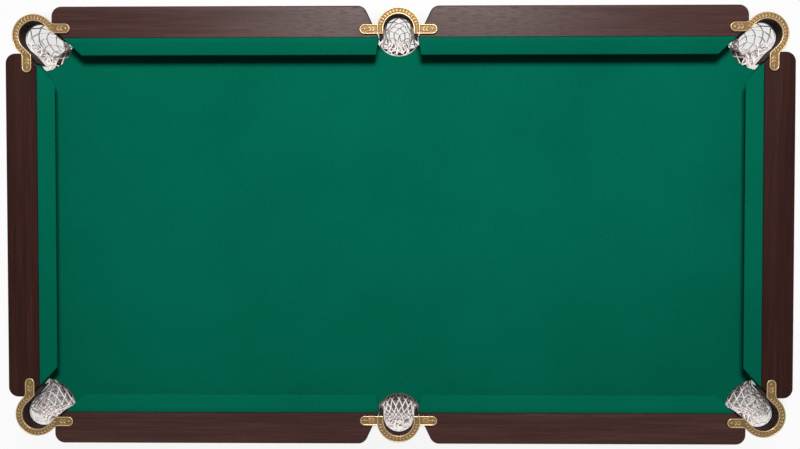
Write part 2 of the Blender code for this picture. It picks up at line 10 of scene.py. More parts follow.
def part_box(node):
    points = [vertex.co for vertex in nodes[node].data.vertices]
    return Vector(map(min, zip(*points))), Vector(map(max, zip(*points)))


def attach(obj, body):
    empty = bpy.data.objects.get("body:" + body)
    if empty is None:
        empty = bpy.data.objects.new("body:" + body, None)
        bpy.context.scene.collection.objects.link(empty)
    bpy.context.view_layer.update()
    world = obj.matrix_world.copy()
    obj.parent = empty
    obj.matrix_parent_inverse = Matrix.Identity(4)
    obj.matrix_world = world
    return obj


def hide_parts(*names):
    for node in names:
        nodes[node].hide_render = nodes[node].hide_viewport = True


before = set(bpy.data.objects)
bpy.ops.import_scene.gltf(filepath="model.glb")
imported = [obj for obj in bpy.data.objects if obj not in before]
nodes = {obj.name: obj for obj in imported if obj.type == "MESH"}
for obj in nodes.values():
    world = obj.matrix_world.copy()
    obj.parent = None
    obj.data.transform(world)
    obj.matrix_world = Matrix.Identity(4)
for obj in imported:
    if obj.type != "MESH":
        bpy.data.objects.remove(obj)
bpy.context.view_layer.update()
print("frame:", len(nodes), "nodes")

# sizes read from the solids
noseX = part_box("cushion_right")[0].x
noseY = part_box("cushion_back_right")[0].y
railInX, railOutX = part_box("rail_right")[0].x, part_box("rail_right")[1].x
railInY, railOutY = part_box("rail_back_right")[0].y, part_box("rail_back_right")[1].y
railLow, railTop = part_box("rail_right")[0].z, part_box("rail_right")[1].z
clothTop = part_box("bed_cloth")[1].z
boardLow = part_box("bed_board")[0].z
bedX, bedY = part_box("bed_board")[1].x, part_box("bed_board")[1].y
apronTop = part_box("side_apron_back")[1].z
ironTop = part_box("pocket_iron_back_left")[1].z
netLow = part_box("pocket_net_back_left")[0].z

# the pockets, as in the solids: local +Y points away from the bed
pocket = {"radius": 0.037, "band": 0.016, "cornerCut": 0.080, "middleCut": 0.059, "cornerFunnel": 0.060,
          "middleFunnel": 0.042, "flare": 0.036}
ringOut = pocket["radius"] + pocket["band"]
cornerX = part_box("pocket_iron_back_right")[1].x - ringOut
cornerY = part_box("pocket_iron_back_right")[1].y - ringOut
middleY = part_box("pocket_iron_back_middle")[1].y - ringOut
endSides = ((1, "right"), (-1, "left"))
longRows = ((1, "back"), (-1, "front"))


def pocketPlaces():
    places = []
    for side, row in longRows:
        for end, name in ((-1, "left"), (0, "middle"), (1, "right")):
            kind = "corner" if end else "middle"
            spot = Vector((end * cornerX, side * (cornerY if end else middleY), 0.0))
            turn = Matrix.Rotation(math.atan2(-end, side), 4, "Z")
            places.append((f"{row}_{name}", kind, Matrix.Translation(spot) @ turn))
    return places


# shader maths: a wire is one socket, and sums on wires add Math nodes
class Wire:
    def __init__(self, tree, socket):
        self.tree = tree
        self.socket = socket

    def sums(self, operation, first, second):
        return addNode(self.tree, "ShaderNodeMath", {0: first, 1: second}, {"operation": operation})

    def __add__(self, other):
        return self.sums("ADD", self, other)

    def __radd__(self, other):
        return self.sums("ADD", other, self)

    def __sub__(self, other):
        return self.sums("SUBTRACT", self, other)

    def __rsub__(self, other):
        return self.sums("SUBTRACT", other, self)

    def __mul__(self, other):
        return self.sums("MULTIPLY", self, other)

    def __rmul__(self, other):
        return self.sums("MULTIPLY", other, self)

    def __pow__(self, other):
        return self.sums("POWER", self, other)

    def size(self):
        return self.sums("ABSOLUTE", self, 0.0)

    def atMost(self, other):
        return self.sums("MINIMUM", self, other)

    def atLeast(self, other):
        return self.sums("MAXIMUM", self, other)


def addNode(tree, kind, sockets=None, settings=None, output=0):
    made = tree.nodes.new(kind)
    for key, value in (settings or {}).items():
        if key == "stops":
            fillRamp(made.color_ramp, value)
        else:
            setattr(made, key, value)
    for key, value in (sockets or {}).items():
        join(tree, made.inputs[key], value)
    return Wire(tree, made.outputs[output])


def join(tree, socket, value):
    if isinstance(value, Wire):
        tree.links.new(value.socket, socket)
    elif isinstance(value, tuple) and socket.type == "RGBA":
        socket.default_value = (*value[:3], 1.0)
    else:
        socket.default_value = value


def fillRamp(ramp, stops):
    while len(ramp.elements) < len(stops):
        ramp.elements.new(0.5)
    for element, (place, colour) in zip(ramp.elements, stops):
        element.position = place
        element.color = (*colour, 1.0) if isinstance(colour, tuple) else (colour, colour, colour, 1.0)


class Look:
    def __init__(self, name, fixed):
        self.material = bpy.data.materials.new(name)
        self.material.use_nodes = True
        self.tree = self.material.node_tree
        self.shader = self.tree.nodes["Principled BSDF"]
        for key, value in fixed.items():
            join(self.tree, self.shader.inputs[key], value)

    def node(self, kind, sockets=None, settings=None, output=0):
        return addNode(self.tree, "ShaderNode" + kind, sockets, settings, output)

    def place(self, scale=(1.0, 1.0, 1.0)):
        spot = self.node("TexCoord", output="Object")
        return self.node("Mapping", {"Vector": spot, "Scale": scale})

    def grain(self, along, across, detail, rough, axis):
        scale = [across, across, across]
        scale["XY".index(axis)] = along
        return self.noise(self.place(scale), 1.0, detail, rough)

    def noise(self, place, scale, detail, rough=0.55):
        return self.node("TexNoise", {"Vector": place, "Scale": scale, "Detail": detail,
                                      "Roughness": rough})

    def ramp(self, value, stops):
        return self.node("ValToRGB", {"Fac": value}, {"stops": stops})

    def mix(self, share, first, second):
        return self.node("Mix", {0: share, 6: first, 7: second}, {"data_type": "RGBA"}, 2)

    def bump(self, height, distance, strength):
        return self.node("Bump", {"Height": height, "Distance": distance, "Strength": strength})

    def wear(self, **wires):
        for key, value in wires.items():
            join(self.tree, self.shader.inputs[key.replace("_", " ")], value)
        return self.material


clothTones = {"deep": (0.0004, 0.086, 0.050), "plain": (0.0006, 0.113, 0.066),
              "lit": (0.0011, 0.137, 0.083)}


def clothLook(name, tones):
    look = Look(name, {"Specular IOR Level": 0.012, "Sheen Weight": 0.05, "Sheen Roughness": 0.5,
                       "Sheen Tint": (0.03, 0.62, 0.42)})
    nap = look.noise(look.place((140.0, 620.0, 620.0)), 1.0, 3.0)     # fibres brushed along the table
    fibre = look.noise(look.place(), 1900.0, 2.0)
    drift = look.noise(look.place(), 3.2, 2.0)
    tone = 0.45 * nap + 0.25 * fibre + 0.30 * drift
    colour = look.ramp(tone, [(0.30, tones["deep"]), (0.50, tones["plain"]), (0.72, tones["lit"])])
    height = look.bump(0.6 * nap + 0.4 * fibre, 0.00035, 0.55)
    return look.wear(Base_Color=colour, Roughness=0.90 + 0.08 * fibre, Normal=height)


endTones = {"pore": (0.0055, 0.0016, 0.0012), "dark": (0.0135, 0.0031, 0.0020),
            "plain": (0.0262, 0.0064, 0.0043), "pale": (0.0475, 0.0148, 0.0102)}
# painted light: the long rails and side aprons get a lighter copy of the end wenge, standing in for the
# brighter light the long rails catch along their grain
litSideTones = {"pore": (0.0085, 0.0030, 0.0024), "dark": (0.0225, 0.0070, 0.0054),
             "plain": (0.0440, 0.0148, 0.0116), "pale": (0.0765, 0.0305, 0.0240)}


def wengeLook(name, tones, axis, gloss):
    look = Look(name, {"Specular IOR Level": gloss})
    band = look.grain(2.2, 62.0, 4.0, 0.6, axis)          # broad growth bands
    streak = look.grain(7.0, 330.0, 5.0, 0.65, axis)      # fine parallel streaks
    pores = look.grain(34.0, 1350.0, 2.0, 0.55, axis)     # short open pores
    pore = look.ramp(pores, [(0.56, 0.0), (0.68, 1.0)])
    tone = 0.45 * band + 0.55 * streak
    grain = look.ramp(tone, [(0.34, tones["dark"]), (0.50, tones["plain"]), (0.68, tones["pale"])])
    poreMask = look.node("RGBToBW", {"Color": pore})
    colour = look.mix(0.65 * poreMask, grain, tones["pore"])
    height = look.bump(0.3 * streak - 0.7 * poreMask, 0.00018, 0.45)
    return look.wear(Base_Color=colour, Roughness=0.34 + 0.12 * streak + 0.12 * poreMask, Normal=height)


brassTones = {"patina": (0.165, 0.103, 0.047), "plain": (0.278, 0.180, 0.088),
              "rubbed": (0.460, 0.328, 0.177)}


def brassLook(name, tones):
    look = Look(name, {"Metallic": 1.0})
    relief = look.node("Attribute", None, {"attribute_name": "relief"}, "Fac")
    cast = look.noise(look.place(), 620.0, 4.0)
    stain = look.noise(look.place(), 48.0, 3.0)
    height = (relief + 0.45 * stain - 0.22).atLeast(0.0).atMost(1.0)
    colour = look.ramp(height, [(0.02, tones["patina"]), (0.55, tones["plain"]), (0.97, tones["rubbed"])])
    rough = 0.52 - 0.20 * height + 0.10 * cast
    return look.wear(Base_Color=colour, Roughness=rough, Normal=look.bump(cast, 0.00016, 0.5))


liningTones = {"deep": (0.0130, 0.0052, 0.0044), "worn": (0.034, 0.0145, 0.0125)}


def liningLook(name, tones):
    look = Look(name, {"Specular IOR Level": 0.12})
    spot = look.place()
    pebble = look.node("TexVoronoi", {"Vector": spot, "Scale": 620.0}, {"feature": "SMOOTH_F1"}, "Distance")
    cloud = look.noise(spot, 70.0, 3.0)
    colour = look.ramp(cloud, [(0.30, tones["deep"]), (0.70, tones["worn"])])
    return look.wear(Base_Color=colour, Roughness=0.55 + 0.20 * cloud,
                     Normal=look.bump(pebble, 0.0004, 0.5))


cordTones = {"soiled": (0.80, 0.705, 0.67), "clean": (0.95, 0.885, 0.86), "grooveShade": (0.62, 0.555, 0.535)}


def cordLook(name, tones):
    look = Look(name, {"Specular IOR Level": 0.15, "Sheen Weight": 0.15})
    twist = look.noise(look.place(), 1150.0, 2.0)
    soil = look.noise(look.place(), 90.0, 3.0)
    colour = look.ramp(soil, [(0.25, tones["soiled"]), (0.55, tones["clean"])])
    # painted shade: the cord is darkened towards the groove colour in fine flecks of the twist noise, for
    # the shade in the grooves between its strands
    shaded = look.mix(0.30 * twist, colour, tones["grooveShade"])
    return look.wear(Base_Color=shaded, Roughness=0.82 + 0.12 * twist,
                     Normal=look.bump(twist, 0.0004, 0.7))


boardTones = {"dark": (0.165, 0.098, 0.052), "plain": (0.285, 0.185, 0.108), "pale": (0.37, 0.26, 0.165)}


def boardLook(name, tones):
    look = Look(name, {"Specular IOR Level": 0.2})
    chip = look.noise(look.place(), 520.0, 4.0)
    cloud = look.noise(look.place(), 12.0, 2.0)
    tone = 0.7 * chip + 0.3 * cloud
    colour = look.ramp(tone, [(0.32, tones["dark"]), (0.52, tones["plain"]), (0.70, tones["pale"])])
    return look.wear(Base_Color=colour, Roughness=0.70 + 0.18 * chip,
                     Normal=look.bump(chip, 0.0002, 0.4))


paintTones = {"black": (0.0110, 0.0110, 0.0122), "dusty": (0.024, 0.024, 0.026)}


def paintLook(name, tones):
    look = Look(name, {"Specular IOR Level": 0.45})
    peel = look.noise(look.place(), 900.0, 2.0)
    dust = look.noise(look.place(), 14.0, 3.0)
    colour = look.ramp(dust, [(0.30, tones["black"]), (0.72, tones["dusty"])])
    return look.wear(Base_Color=colour, Roughness=0.40 + 0.16 * dust,
                     Normal=look.bump(peel, 0.00012, 0.5))


zincTones = {"dull": (0.40, 0.405, 0.41), "plain": (0.58, 0.585, 0.60), "warm": (0.66, 0.645, 0.58)}


def zincLook(name, tones):
    look = Look(name, {"Metallic": 1.0})
    brushed = look.noise(look.place((60.0, 60.0, 900.0)), 1.0, 3.0)
    bloom = look.noise(look.place(), 34.0, 3.0)
    colour = look.ramp(bloom, [(0.28, tones["dull"]), (0.50, tones["plain"]), (0.75, tones["warm"])])
    return look.wear(Base_Color=colour, Roughness=0.30 + 0.14 * bloom + 0.08 * brushed,
                     Normal=look.bump(brushed, 0.00008, 0.4))


plasticTones = {"black": (0.010, 0.010, 0.011), "scuffed": (0.030, 0.030, 0.031)}


def plasticLook(name, tones):
    look = Look(name, {"Specular IOR Level": 0.40})
    grain = look.noise(look.place(), 1400.0, 2.0)
    scuff = look.noise(look.place((40.0, 40.0, 260.0)), 1.0, 3.0)
    colour = look.ramp(scuff, [(0.35, tones["black"]), (0.75, tones["scuffed"])])
    return look.wear(Base_Color=colour, Roughness=0.55 + 0.20 * scuff,
                     Normal=look.bump(grain, 0.0001, 0.5))


cloth = clothLook("billiardCloth", clothTones)
# the along copy wears the painted lighter tones; the across copy is the plain wenge
woodAlongLit = wengeLook("wengeAlongLit", litSideTones, "X", 0.17)
woodAcross = wengeLook("wengeAcross", endTones, "Y", 0.10)
brass = brassLook("castBrass", brassTones)
lining = liningLook("pocketLeather", liningTones)
cord = cordLook("cottonCord", cordTones)
board = boardLook("fibreboard", boardTones)
paint = paintLook("blackPowderCoat", paintTones)
zinc = zincLook("zincPlate", zincTones)
plastic = plasticLook("mouldedPlastic", plasticTones)
print("looks:", len(bpy.data.materials), "materials")


# meshes
def plainMesh(name, shaped):
    mesh = bpy.data.meshes.new(name)
    shaped.to_mesh(mesh)
    shaped.free()
    return mesh


def meshOf(name, shaped):
    bmesh.ops.remove_doubles(shaped, verts=shaped.verts, dist=1e-6)
    bmesh.ops.recalc_face_normals(shaped, faces=shaped.faces)
    return plainMesh(name, shaped)


def addObject(name, data):
    made = bpy.data.objects.new(name, data)
    bpy.context.scene.collection.objects.link(made)
    return made


def piece(name, mesh, look, body="table", replaced=(), smooth=35.0):
    mesh.materials.clear()
    mesh.materials.append(look)
    mesh.shade_smooth()
    mesh.set_sharp_from_angle(angle=math.radians(smooth))
    made = addObject(name, mesh)
    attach(made, body)
    if replaced:
        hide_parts(*replaced)
    return made


def arc(centre, radius, start, end, steps):
    points = []
    for i in range(steps + 1):
        angle = math.radians(start + (end - start) * i / steps)
        points.append(Vector((centre[0] + radius * math.cos(angle), centre[1] + radius * math.sin(angle))))
    return points


def filleted(corners, steps):
    # corners are (x, y, radius); a radius of 0 keeps the corner sharp
    outline = []
    for i, (x, y, radius) in enumerate(corners):
        here = Vector((x, y))
        if radius <= 0.0:
            outline.append(here)
            continue
        before = (Vector(corners[i - 1][:2]) - here).normalized()
        after = (Vector(corners[(i + 1) % len(corners)][:2]) - here).normalized()
        half = before.angle(after) / 2
        centre = here + (before + after).normalized() * radius / math.sin(half)
        first = here + before * radius / math.tan(half) - centre
        last = here + after * radius / math.tan(half) - centre
        start = math.degrees(math.atan2(first.y, first.x))
        outline += arc(centre, radius, start, start - math.degrees(first.angle_signed(last)), steps)
    return outline


def resampled(points, count):
    # count points at equal steps along a line of points, both ends kept
    lengths = [0.0]
    for a, b in zip(points, points[1:]):
        lengths.append(lengths[-1] + (b - a).length)
    made, k = [], 0
    for i in range(count):
        want = lengths[-1] * i / (count - 1)
        while k < len(points) - 2 and lengths[k + 1] < want:
            k += 1
        share = (want - lengths[k]) / max(lengths[k + 1] - lengths[k], 1e-9)
        made.append(points[k].lerp(points[k + 1], min(1.0, share)))
    return made


def skin(shaped, low, high):
    for i in range(len(low)):
        k = (i + 1) % len(low)
        shaped.faces.new((low[i], low[k], high[k], high[i]))


def loft(name, rings):
    # a closed skin over rings of equally many points
    shaped = bmesh.new()
    rows = [[shaped.verts.new(point) for point in ring] for ring in rings]
    for low, high in zip(rows, rows[1:]):
        skin(shaped, low, high)
    shaped.faces.new(list(reversed(rows[0])))
    shaped.faces.new(rows[-1])
    return meshOf(name, shaped)


def ringOf(steps, height, reachAt):
    # points round the upright axis, as far out as reachAt says for their angle
    ring = []
    for i in range(steps):
        angle = 2 * math.pi * i / steps
        reach = reachAt(angle)
        ring.append(Vector((reach * math.cos(angle), reach * math.sin(angle), height)))
    return ring


def rounded(shaped, edges, offset, steps, clamped=False):
    bmesh.ops.bevel(shaped, geom=edges, offset=offset, segments=steps, profile=0.5, affect="EDGES",
                    clamp_overlap=clamped)
    # a bevel may list its faces in another order each run, so they are sorted by their three lowest corners
    shaped.verts.index_update()
    count = len(shaped.verts)

    def order(face):
        first, second, third = sorted(v.index for v in face.verts)[:3]
        return (first * count + second) * count + third

    shaped.faces.sort(key=order)


def moved(mesh, matrix):
    copy = mesh.copy()
    copy.transform(matrix)
    return copy


# camera at the photograph's angle: a little off centre, leaning by about a degree
view = {"place": (0.0325, 0.0553, 3.0), "leanX": -0.02363, "leanY": 0.01315, "focalPixels": 904.5,
        "framePixels": 800, "sensor": 36.0}
cameraData = bpy.data.cameras.new("camera")
cameraData.sensor_width = view["sensor"]
cameraData.lens = view["sensor"] * view["focalPixels"] / view["framePixels"]
camera = addObject("camera", cameraData)
camera.matrix_world = (Matrix.Translation(view["place"]) @ Matrix.Rotation(view["leanX"], 4, "X")
                       @ Matrix.Rotation(view["leanY"], 4, "Y"))
bpy.context.scene.camera = camera
bpy.context.scene.view_settings.view_transform = "Standard"


# rails: a flat dark board each, rounded along the top outside
rail = {"mouth": 0.067, "throat": 0.021, "endOut": 0.0055, "middleThroat": 0.048, "middleMouth": 0.055,
        "corner": 0.024, "steps": 10, "round": 0.004, "roundSteps": 5, "edge": 0.0007, "edgeSteps": 2}
cushionWidth = railInX - noseX


def throatAt(out):
    return rail["mouth"] - (rail["mouth"] - rail["throat"]) * out / cushionWidth


def cornerEnd(half, edge):
    # the corner end of a rail as (along, out, radius), outer edge first
    end = half + rail["endOut"]
    meets = cushionWidth * (rail["mouth"] + rail["endOut"]) / (rail["mouth"] - rail["throat"])
    return [(end, edge + railOutX - noseX, rail["corner"]), (end, edge + meets, 0.0),
            (half - rail["throat"], edge + cushionWidth, 0.0)]


def railMesh(name, outline, inner):
    # inner(point) says whether a point lies on the cushion side, which keeps a crisp edge
    shaped = bmesh.new()
    low = [shaped.verts.new((p.x, p.y, railLow)) for p in outline]
    high = [shaped.verts.new((p.x, p.y, railTop)) for p in outline]
    shaped.faces.new(list(reversed(low)))
    shaped.faces.new(high)
    skin(shaped, low, high)
    bmesh.ops.recalc_face_normals(shaped, faces=shaped.faces)
    top = set(high)
    soft = []
    for edge in shaped.edges:
        if all(v in top for v in edge.verts) and not all(inner(v.co) for v in edge.verts):
            soft.append(edge)
    rounded(shaped, soft, rail["round"], rail["roundSteps"])
    bottom = [e for e in shaped.edges if all(abs(v.co.z - railLow) < 1e-6 for v in e.verts)]
    rounded(shaped, bottom, rail["edge"], rail["edgeSteps"])
    return meshOf(name, shaped)


def addRails():
    upper = [(noseX + out, along, radius) for along, out, radius in cornerEnd(noseY, 0.0)]
    lower = [(x, -y, radius) for x, y, radius in reversed(upper)]
    endOutline = filleted(upper + lower, rail["steps"])
    for side, name in endSides:
        outline = [Vector((side * p.x, p.y)) for p in endOutline]
        mesh = railMesh(f"railBoard_{name}", outline, lambda point: abs(point.x) < railInX + 1e-5)
        piece(f"railBoard_{name}", mesh, woodAcross, replaced=[f"rail_{name}"])
    corners = cornerEnd(noseX, noseY) + [
        (rail["middleThroat"], railInY, 0.0),
        (rail["middleThroat"] + pocket["flare"], railOutY, rail["corner"]),
    ]
    longOutline = filleted(corners, rail["steps"])
    for up, row in longRows:
        for side, name in endSides:
            outline = [Vector((side * p.x, up * p.y)) for p in longOutline]
            mesh = railMesh(f"railBoard_{row}_{name}", outline, lambda point: abs(point.y) < railInY + 1e-5)
            piece(f"railBoard_{row}_{name}", mesh, woodAlongLit, replaced=[f"rail_{row}_{name}"])


# cushions: rubber under cloth, the cloth tucked into the rail along the back
cushion = {"nose": 0.0025, "noseHeight": 0.0365, "foot": 0.008, "footWidth": 0.013, "top": 0.0425,
           "noseTurn": (222.0, 96.0), "steps": 10, "swell": 0.00025, "swellAt": (0.33, 0.67),
           "tuck": 0.0014, "tuckDepth": 0.0012, "tuckAt": (0.3, 0.4), "endRound": 0.0014, "endSteps": 3,
           "seat": 0.0003}


def cushionSection():
    back = cushionWidth - cushion["seat"]
    noseAt = (cushion["nose"], clothTop + cushion["noseHeight"])
    nose = arc(noseAt, cushion["nose"], *cushion["noseTurn"], cushion["steps"])
    topEnd = Vector((back - cushion["tuck"], clothTop + cushion["top"]))
    rise = [nose[-1].lerp(topEnd, share) for share in cushion["swellAt"]]
    for point in rise:
        point.y += cushion["swell"]               # the top swells a hair between nose and back
    inward, down = cushion["tuckAt"]
    tuck = [topEnd, Vector((back - cushion["tuck"] * inward, topEnd.y - cushion["tuckDepth"] * down)),
            Vector((back, topEnd.y - cushion["tuckDepth"]))]
    foot = clothTop + cushion["foot"]
    return nose + rise + tuck + [Vector((back, foot)), Vector((back - cushion["footWidth"], foot))]


def cushionMesh(name, firstEnd, lastEnd):
    section = cushionSection()
    shaped = bmesh.new()
    rings = []
    for end in (firstEnd, lastEnd):
        rings.append([shaped.verts.new((end(p.x), p.x, p.y)) for p in section])
    skin(shaped, *rings)
    caps = [shaped.faces.new(rings[0]), shaped.faces.new(rings[1])]
    bmesh.ops.recalc_face_normals(shaped, faces=shaped.faces)
    rims = [edge for cap in caps for edge in cap.edges]
    rounded(shaped, rims, cushion["endRound"], cushion["endSteps"], True)
    return meshOf(name, shaped)


def middleAt(out):
    return rail["middleMouth"] - (rail["middleMouth"] - rail["middleThroat"]) * out / cushionWidth


def addCushions():
    endMesh = cushionMesh("cushionEnd", lambda out: throatAt(out) - noseY,
                          lambda out: noseY - throatAt(out))
    longMesh = cushionMesh("cushionLong", middleAt, lambda out: noseX - throatAt(out))
    for side, name in endSides:
        place = Matrix.Rotation(0.0 if side > 0 else math.pi, 4, "Z") @ Matrix.Translation((noseX, 0, 0))
        mesh = moved(endMesh, place @ Matrix.Rotation(-math.pi / 2, 4, "Z"))
        piece(f"clothCushion_{name}", mesh, cloth, replaced=[f"cushion_{name}"])
    for up, row in longRows:
        for side, name in endSides:
            mesh = moved(longMesh, Matrix.Diagonal((side, up, 1, 1)) @ Matrix.Translation((0, noseY, 0)))
            if side * up < 0:
                mesh.flip_normals()
            piece(f"clothCushion_{row}_{name}", mesh, cloth, replaced=[f"cushion_{row}_{name}"])


# bed cloth: one sheet with its edge turned down over the board at each pocket
bedCloth = {"thickness": 0.0009, "roll": 0.0013, "turnDown": 0.014, "arcSteps": 56,
            "rollTurns": (22, 45, 67, 90)}


def notch(centre, outward, radius, spread):
    # the cloth's edge round one pocket, walked anticlockwise round the bed
    across = Vector((outward.y, -outward.x))

    def reach(sign):
        start = centre + sign * across * radius
        slope = outward + sign * across * spread
        ends = []
        for edge, at, step in ((bedX, start.x, slope.x), (bedY, start.y, slope.y)):
            if abs(step) > 1e-6:
                ends.append((edge - abs(at)) / abs(step))
        return start + slope * min(t for t in ends if t > 0)

    turn = []
    for i in range(bedCloth["arcSteps"] + 1):
        angle = math.pi * i / bedCloth["arcSteps"]
        turn.append(centre + radius * (across * math.cos(angle) - outward * math.sin(angle)))
    return [reach(1)] + turn + [reach(-1)]


def addBedCloth():
    edge, rims = [], []
    stations = [(1, 1), (0, 1), (-1, 1), (-1, -1), (0, -1), (1, -1)]
    for end, side in stations:
        outward = Vector((end, side)).normalized()
        centre = Vector((end * cornerX, side * (cornerY if end else middleY)))
        radius = pocket["cornerCut"] if end else pocket["middleCut"]
        spread = 0.0 if end else pocket["flare"] / (railOutY - railInY)
        line = notch(centre, outward, radius, spread)
        rims.append(range(len(edge), len(edge) + len(line)))
        edge += line
    shaped = bmesh.new()
    top = [shaped.verts.new((p.x, p.y, clothTop)) for p in edge]
    count = len(top)
    loop = [shaped.edges.new((top[i], top[(i + 1) % count])) for i in range(count)]
    bmesh.ops.triangle_fill(shaped, edges=loop, use_beauty=True, normal=(0, 0, 1))
    flat = sum(face.calc_area() for face in shaped.faces)
    roll = bedCloth["roll"]
    drops = []
    for degrees in bedCloth["rollTurns"]:
        angle = math.radians(degrees)
        drops.append((roll * math.sin(angle), roll * (1 - math.cos(angle))))
    drops.append((roll, bedCloth["turnDown"]))
    for rim in rims:
        last = [top[i] for i in rim]
        points = [edge[i] for i in rim]
        for out, down in drops:
            row = []
            for i, point in enumerate(points):
                along = (points[min(i + 1, len(points) - 1)] - points[max(i - 1, 0)]).normalized()
                off = Vector((along.y, -along.x)) * out          # away from the bed, into the pocket
                row.append(shaped.verts.new((point.x + off.x, point.y + off.y, clothTop - down)))
            for i in range(len(row) - 1):
                shaped.faces.new((last[i], row[i], row[i + 1], last[i + 1]))
            last = row
    area = sum(face.calc_area() for face in shaped.faces)
    bmesh.ops.recalc_face_normals(shaped, faces=shaped.faces)
    mesh = meshOf("bedSheet", shaped)
    if sum(face.normal.z * face.area for face in mesh.polygons) < 0:
        mesh.flip_normals()
    made = piece("bedSheet", mesh, cloth, replaced=["bed_cloth"])
    thick = made.modifiers.new("thickness", "SOLIDIFY")
    thick.thickness = bedCloth["thickness"]
    thick.offset = -1.0
    print("bed cloth: flat", round(flat, 4), "with turned edges", round(area, 4), "square metres")


# pocket irons: a cast band round the pocket with an arm on each rail, raised rims and leaves between them
iron = {"armWidth": 0.023, "cornerShift": 0.018, "cornerReach": 0.088, "middleReach": 0.094, "neck": 0.015,
        "neckPast": 0.45, "root": 0.011, "middleNeck": 0.004, "middleRoot": 0.002, "middleRingEnd": 22.0,
        "tipTurn": 89.0, "rim": 0.0021, "rimFoot": 0.8, "slope": 0.0009, "sink": 0.0015, "edge": 0.0007,
        "edgeFade": 1.3, "barIn": 0.0016, "barSlope": (0.0023, 0.0006), "sideRelief": 0.5, "seat": 0.0003,
        "ringSteps": 112, "neckSteps": 44, "filletSteps": 8, "dipSteps": 6, "armSteps": 36, "tipSteps": 16,
        "acrossSteps": 28}
leaves = {"pitch": 0.0082, "first": 0.55, "length": 0.0043, "width": 0.0016, "offset": 0.0021, "lean": 36.0,
          "height": 0.0011, "taper": 0.35, "vein": 0.28, "veinWidth": 0.22, "stem": 0.0006, "ringStem": 0.4,
          "cornerSpan": 112.0, "middleSpan": 78.0, "armCount": 2, "armLead": 0.0005, "armFirst": 0.0062,
          "armPitch": 0.0078, "armLength": 0.0056, "armWidth": 0.0020, "armOffset": 0.0034, "armStem": 0.45,
          "bead": 0.0026}
ironPlate = (railTop + iron["seat"], ironTop)


def ironSides(kind):
    # matching points on both edges of the right half, from the ring's crown to the arm's tip
    half = iron["armWidth"] / 2
    inner, outer = pocket["radius"], ringOut
    if kind == "corner":
        along, across = Vector((1, -1)).normalized(), Vector((1, 1)).normalized()
        tipAt = iron["cornerReach"] - half
        base = across * iron["cornerShift"]
        root = math.sqrt(2)
        bend = (outer, root * (iron["cornerShift"] + half) - outer, iron["neck"])
        dip = (inner, root * (iron["cornerShift"] - half) - inner, iron["root"])
        ringEnd = 0.0
        armFrom = Vector(bend[:2]).dot(along) + iron["neck"] * iron["neckPast"]
    else:
        along, across = Vector((1, 0)), Vector((0, 1))
        tipAt = iron["middleReach"] - half
        base = Vector((0, 0))
        ringEnd = iron["middleRingEnd"]
        corner = math.asin(half / outer)
        bend = (outer * math.cos(corner), half, iron["middleNeck"])
        dip = (inner, -half, iron["middleRoot"])
        armFrom = bend[0] + iron["middleNeck"]
    armOut, armIn = base + across * half, base - across * half
    ringOutEnd = arc((0, 0), outer, 90.0, ringEnd, iron["ringSteps"])
    ringInEnd = arc((0, 0), inner, 90.0, ringEnd, iron["ringSteps"])
    fillet, neck = iron["filletSteps"], iron["neckSteps"]
    bendLine = filleted([(*ringOutEnd[-1], 0.0), bend, (*(armOut + along * armFrom), 0.0)], fillet)
    dipStart = ringInEnd[-1:] if kind == "corner" else arc((0, 0), inner, ringEnd, 0.0, iron["dipSteps"])
    dipLine = filleted([(*dipStart[-1], 0.0), dip, (*(armIn + along * armFrom), 0.0)], fillet)
    dipLine = dipStart[:-1] + dipLine
    outerSide = ringOutEnd[:-1] + resampled(bendLine, neck)[:-1]
    innerSide = ringInEnd[:-1] + resampled(dipLine, neck)[:-1]
    for i in range(iron["armSteps"]):
        at = armFrom + (tipAt - armFrom) * i / iron["armSteps"]
        outerSide.append(armOut + along * at)
        innerSide.append(armIn + along * at)
    tip = base + along * tipAt
    for i in range(iron["tipSteps"] + 1):
        angle = math.radians(iron["tipTurn"] * i / iron["tipSteps"])
        reach = along * math.sin(angle) * half
        outerSide.append(tip + across * math.cos(angle) * half + reach)
        innerSide.append(tip - across * math.cos(angle) * half + reach)
    return {"outer": outerSide, "inner": innerSide, "tip": tip, "along": along, "across": across,
            "base": base, "armFrom": armFrom, "tipAt": tipAt, "half": half}


def smoothStep(low, high, value):
    share = max(0.0, min(1.0, (value - low) / (high - low)))
    return share * share * (3 - 2 * share)


def leafHeight(x, y, length, width):
    # one leaf lying along its own axis, with a vein down the middle
    lean = math.radians(leaves["lean"])
    c, s = math.cos(lean), math.sin(lean)
    along, across = x * c + y * s, y * c - x * s
    taper = width * (1.0 - leaves["taper"] * along / length)
    inside = 1.0 - (along / length) ** 2 - (across / taper) ** 2
    if inside <= 0.0:
        return 0.0
    vein = leaves["vein"] * math.exp(-(across / (leaves["veinWidth"] * width)) ** 2)
    return leaves["height"] * (math.sqrt(inside) - vein)


def leafPair(x, off, offset, length, width):
    return max(leafHeight(x, (off - sign * offset) * sign, length, width) for sign in (1, -1))


def stemHeight(off, share):
    return leaves["height"] * share * math.exp(-(off / leaves["stem"]) ** 2)


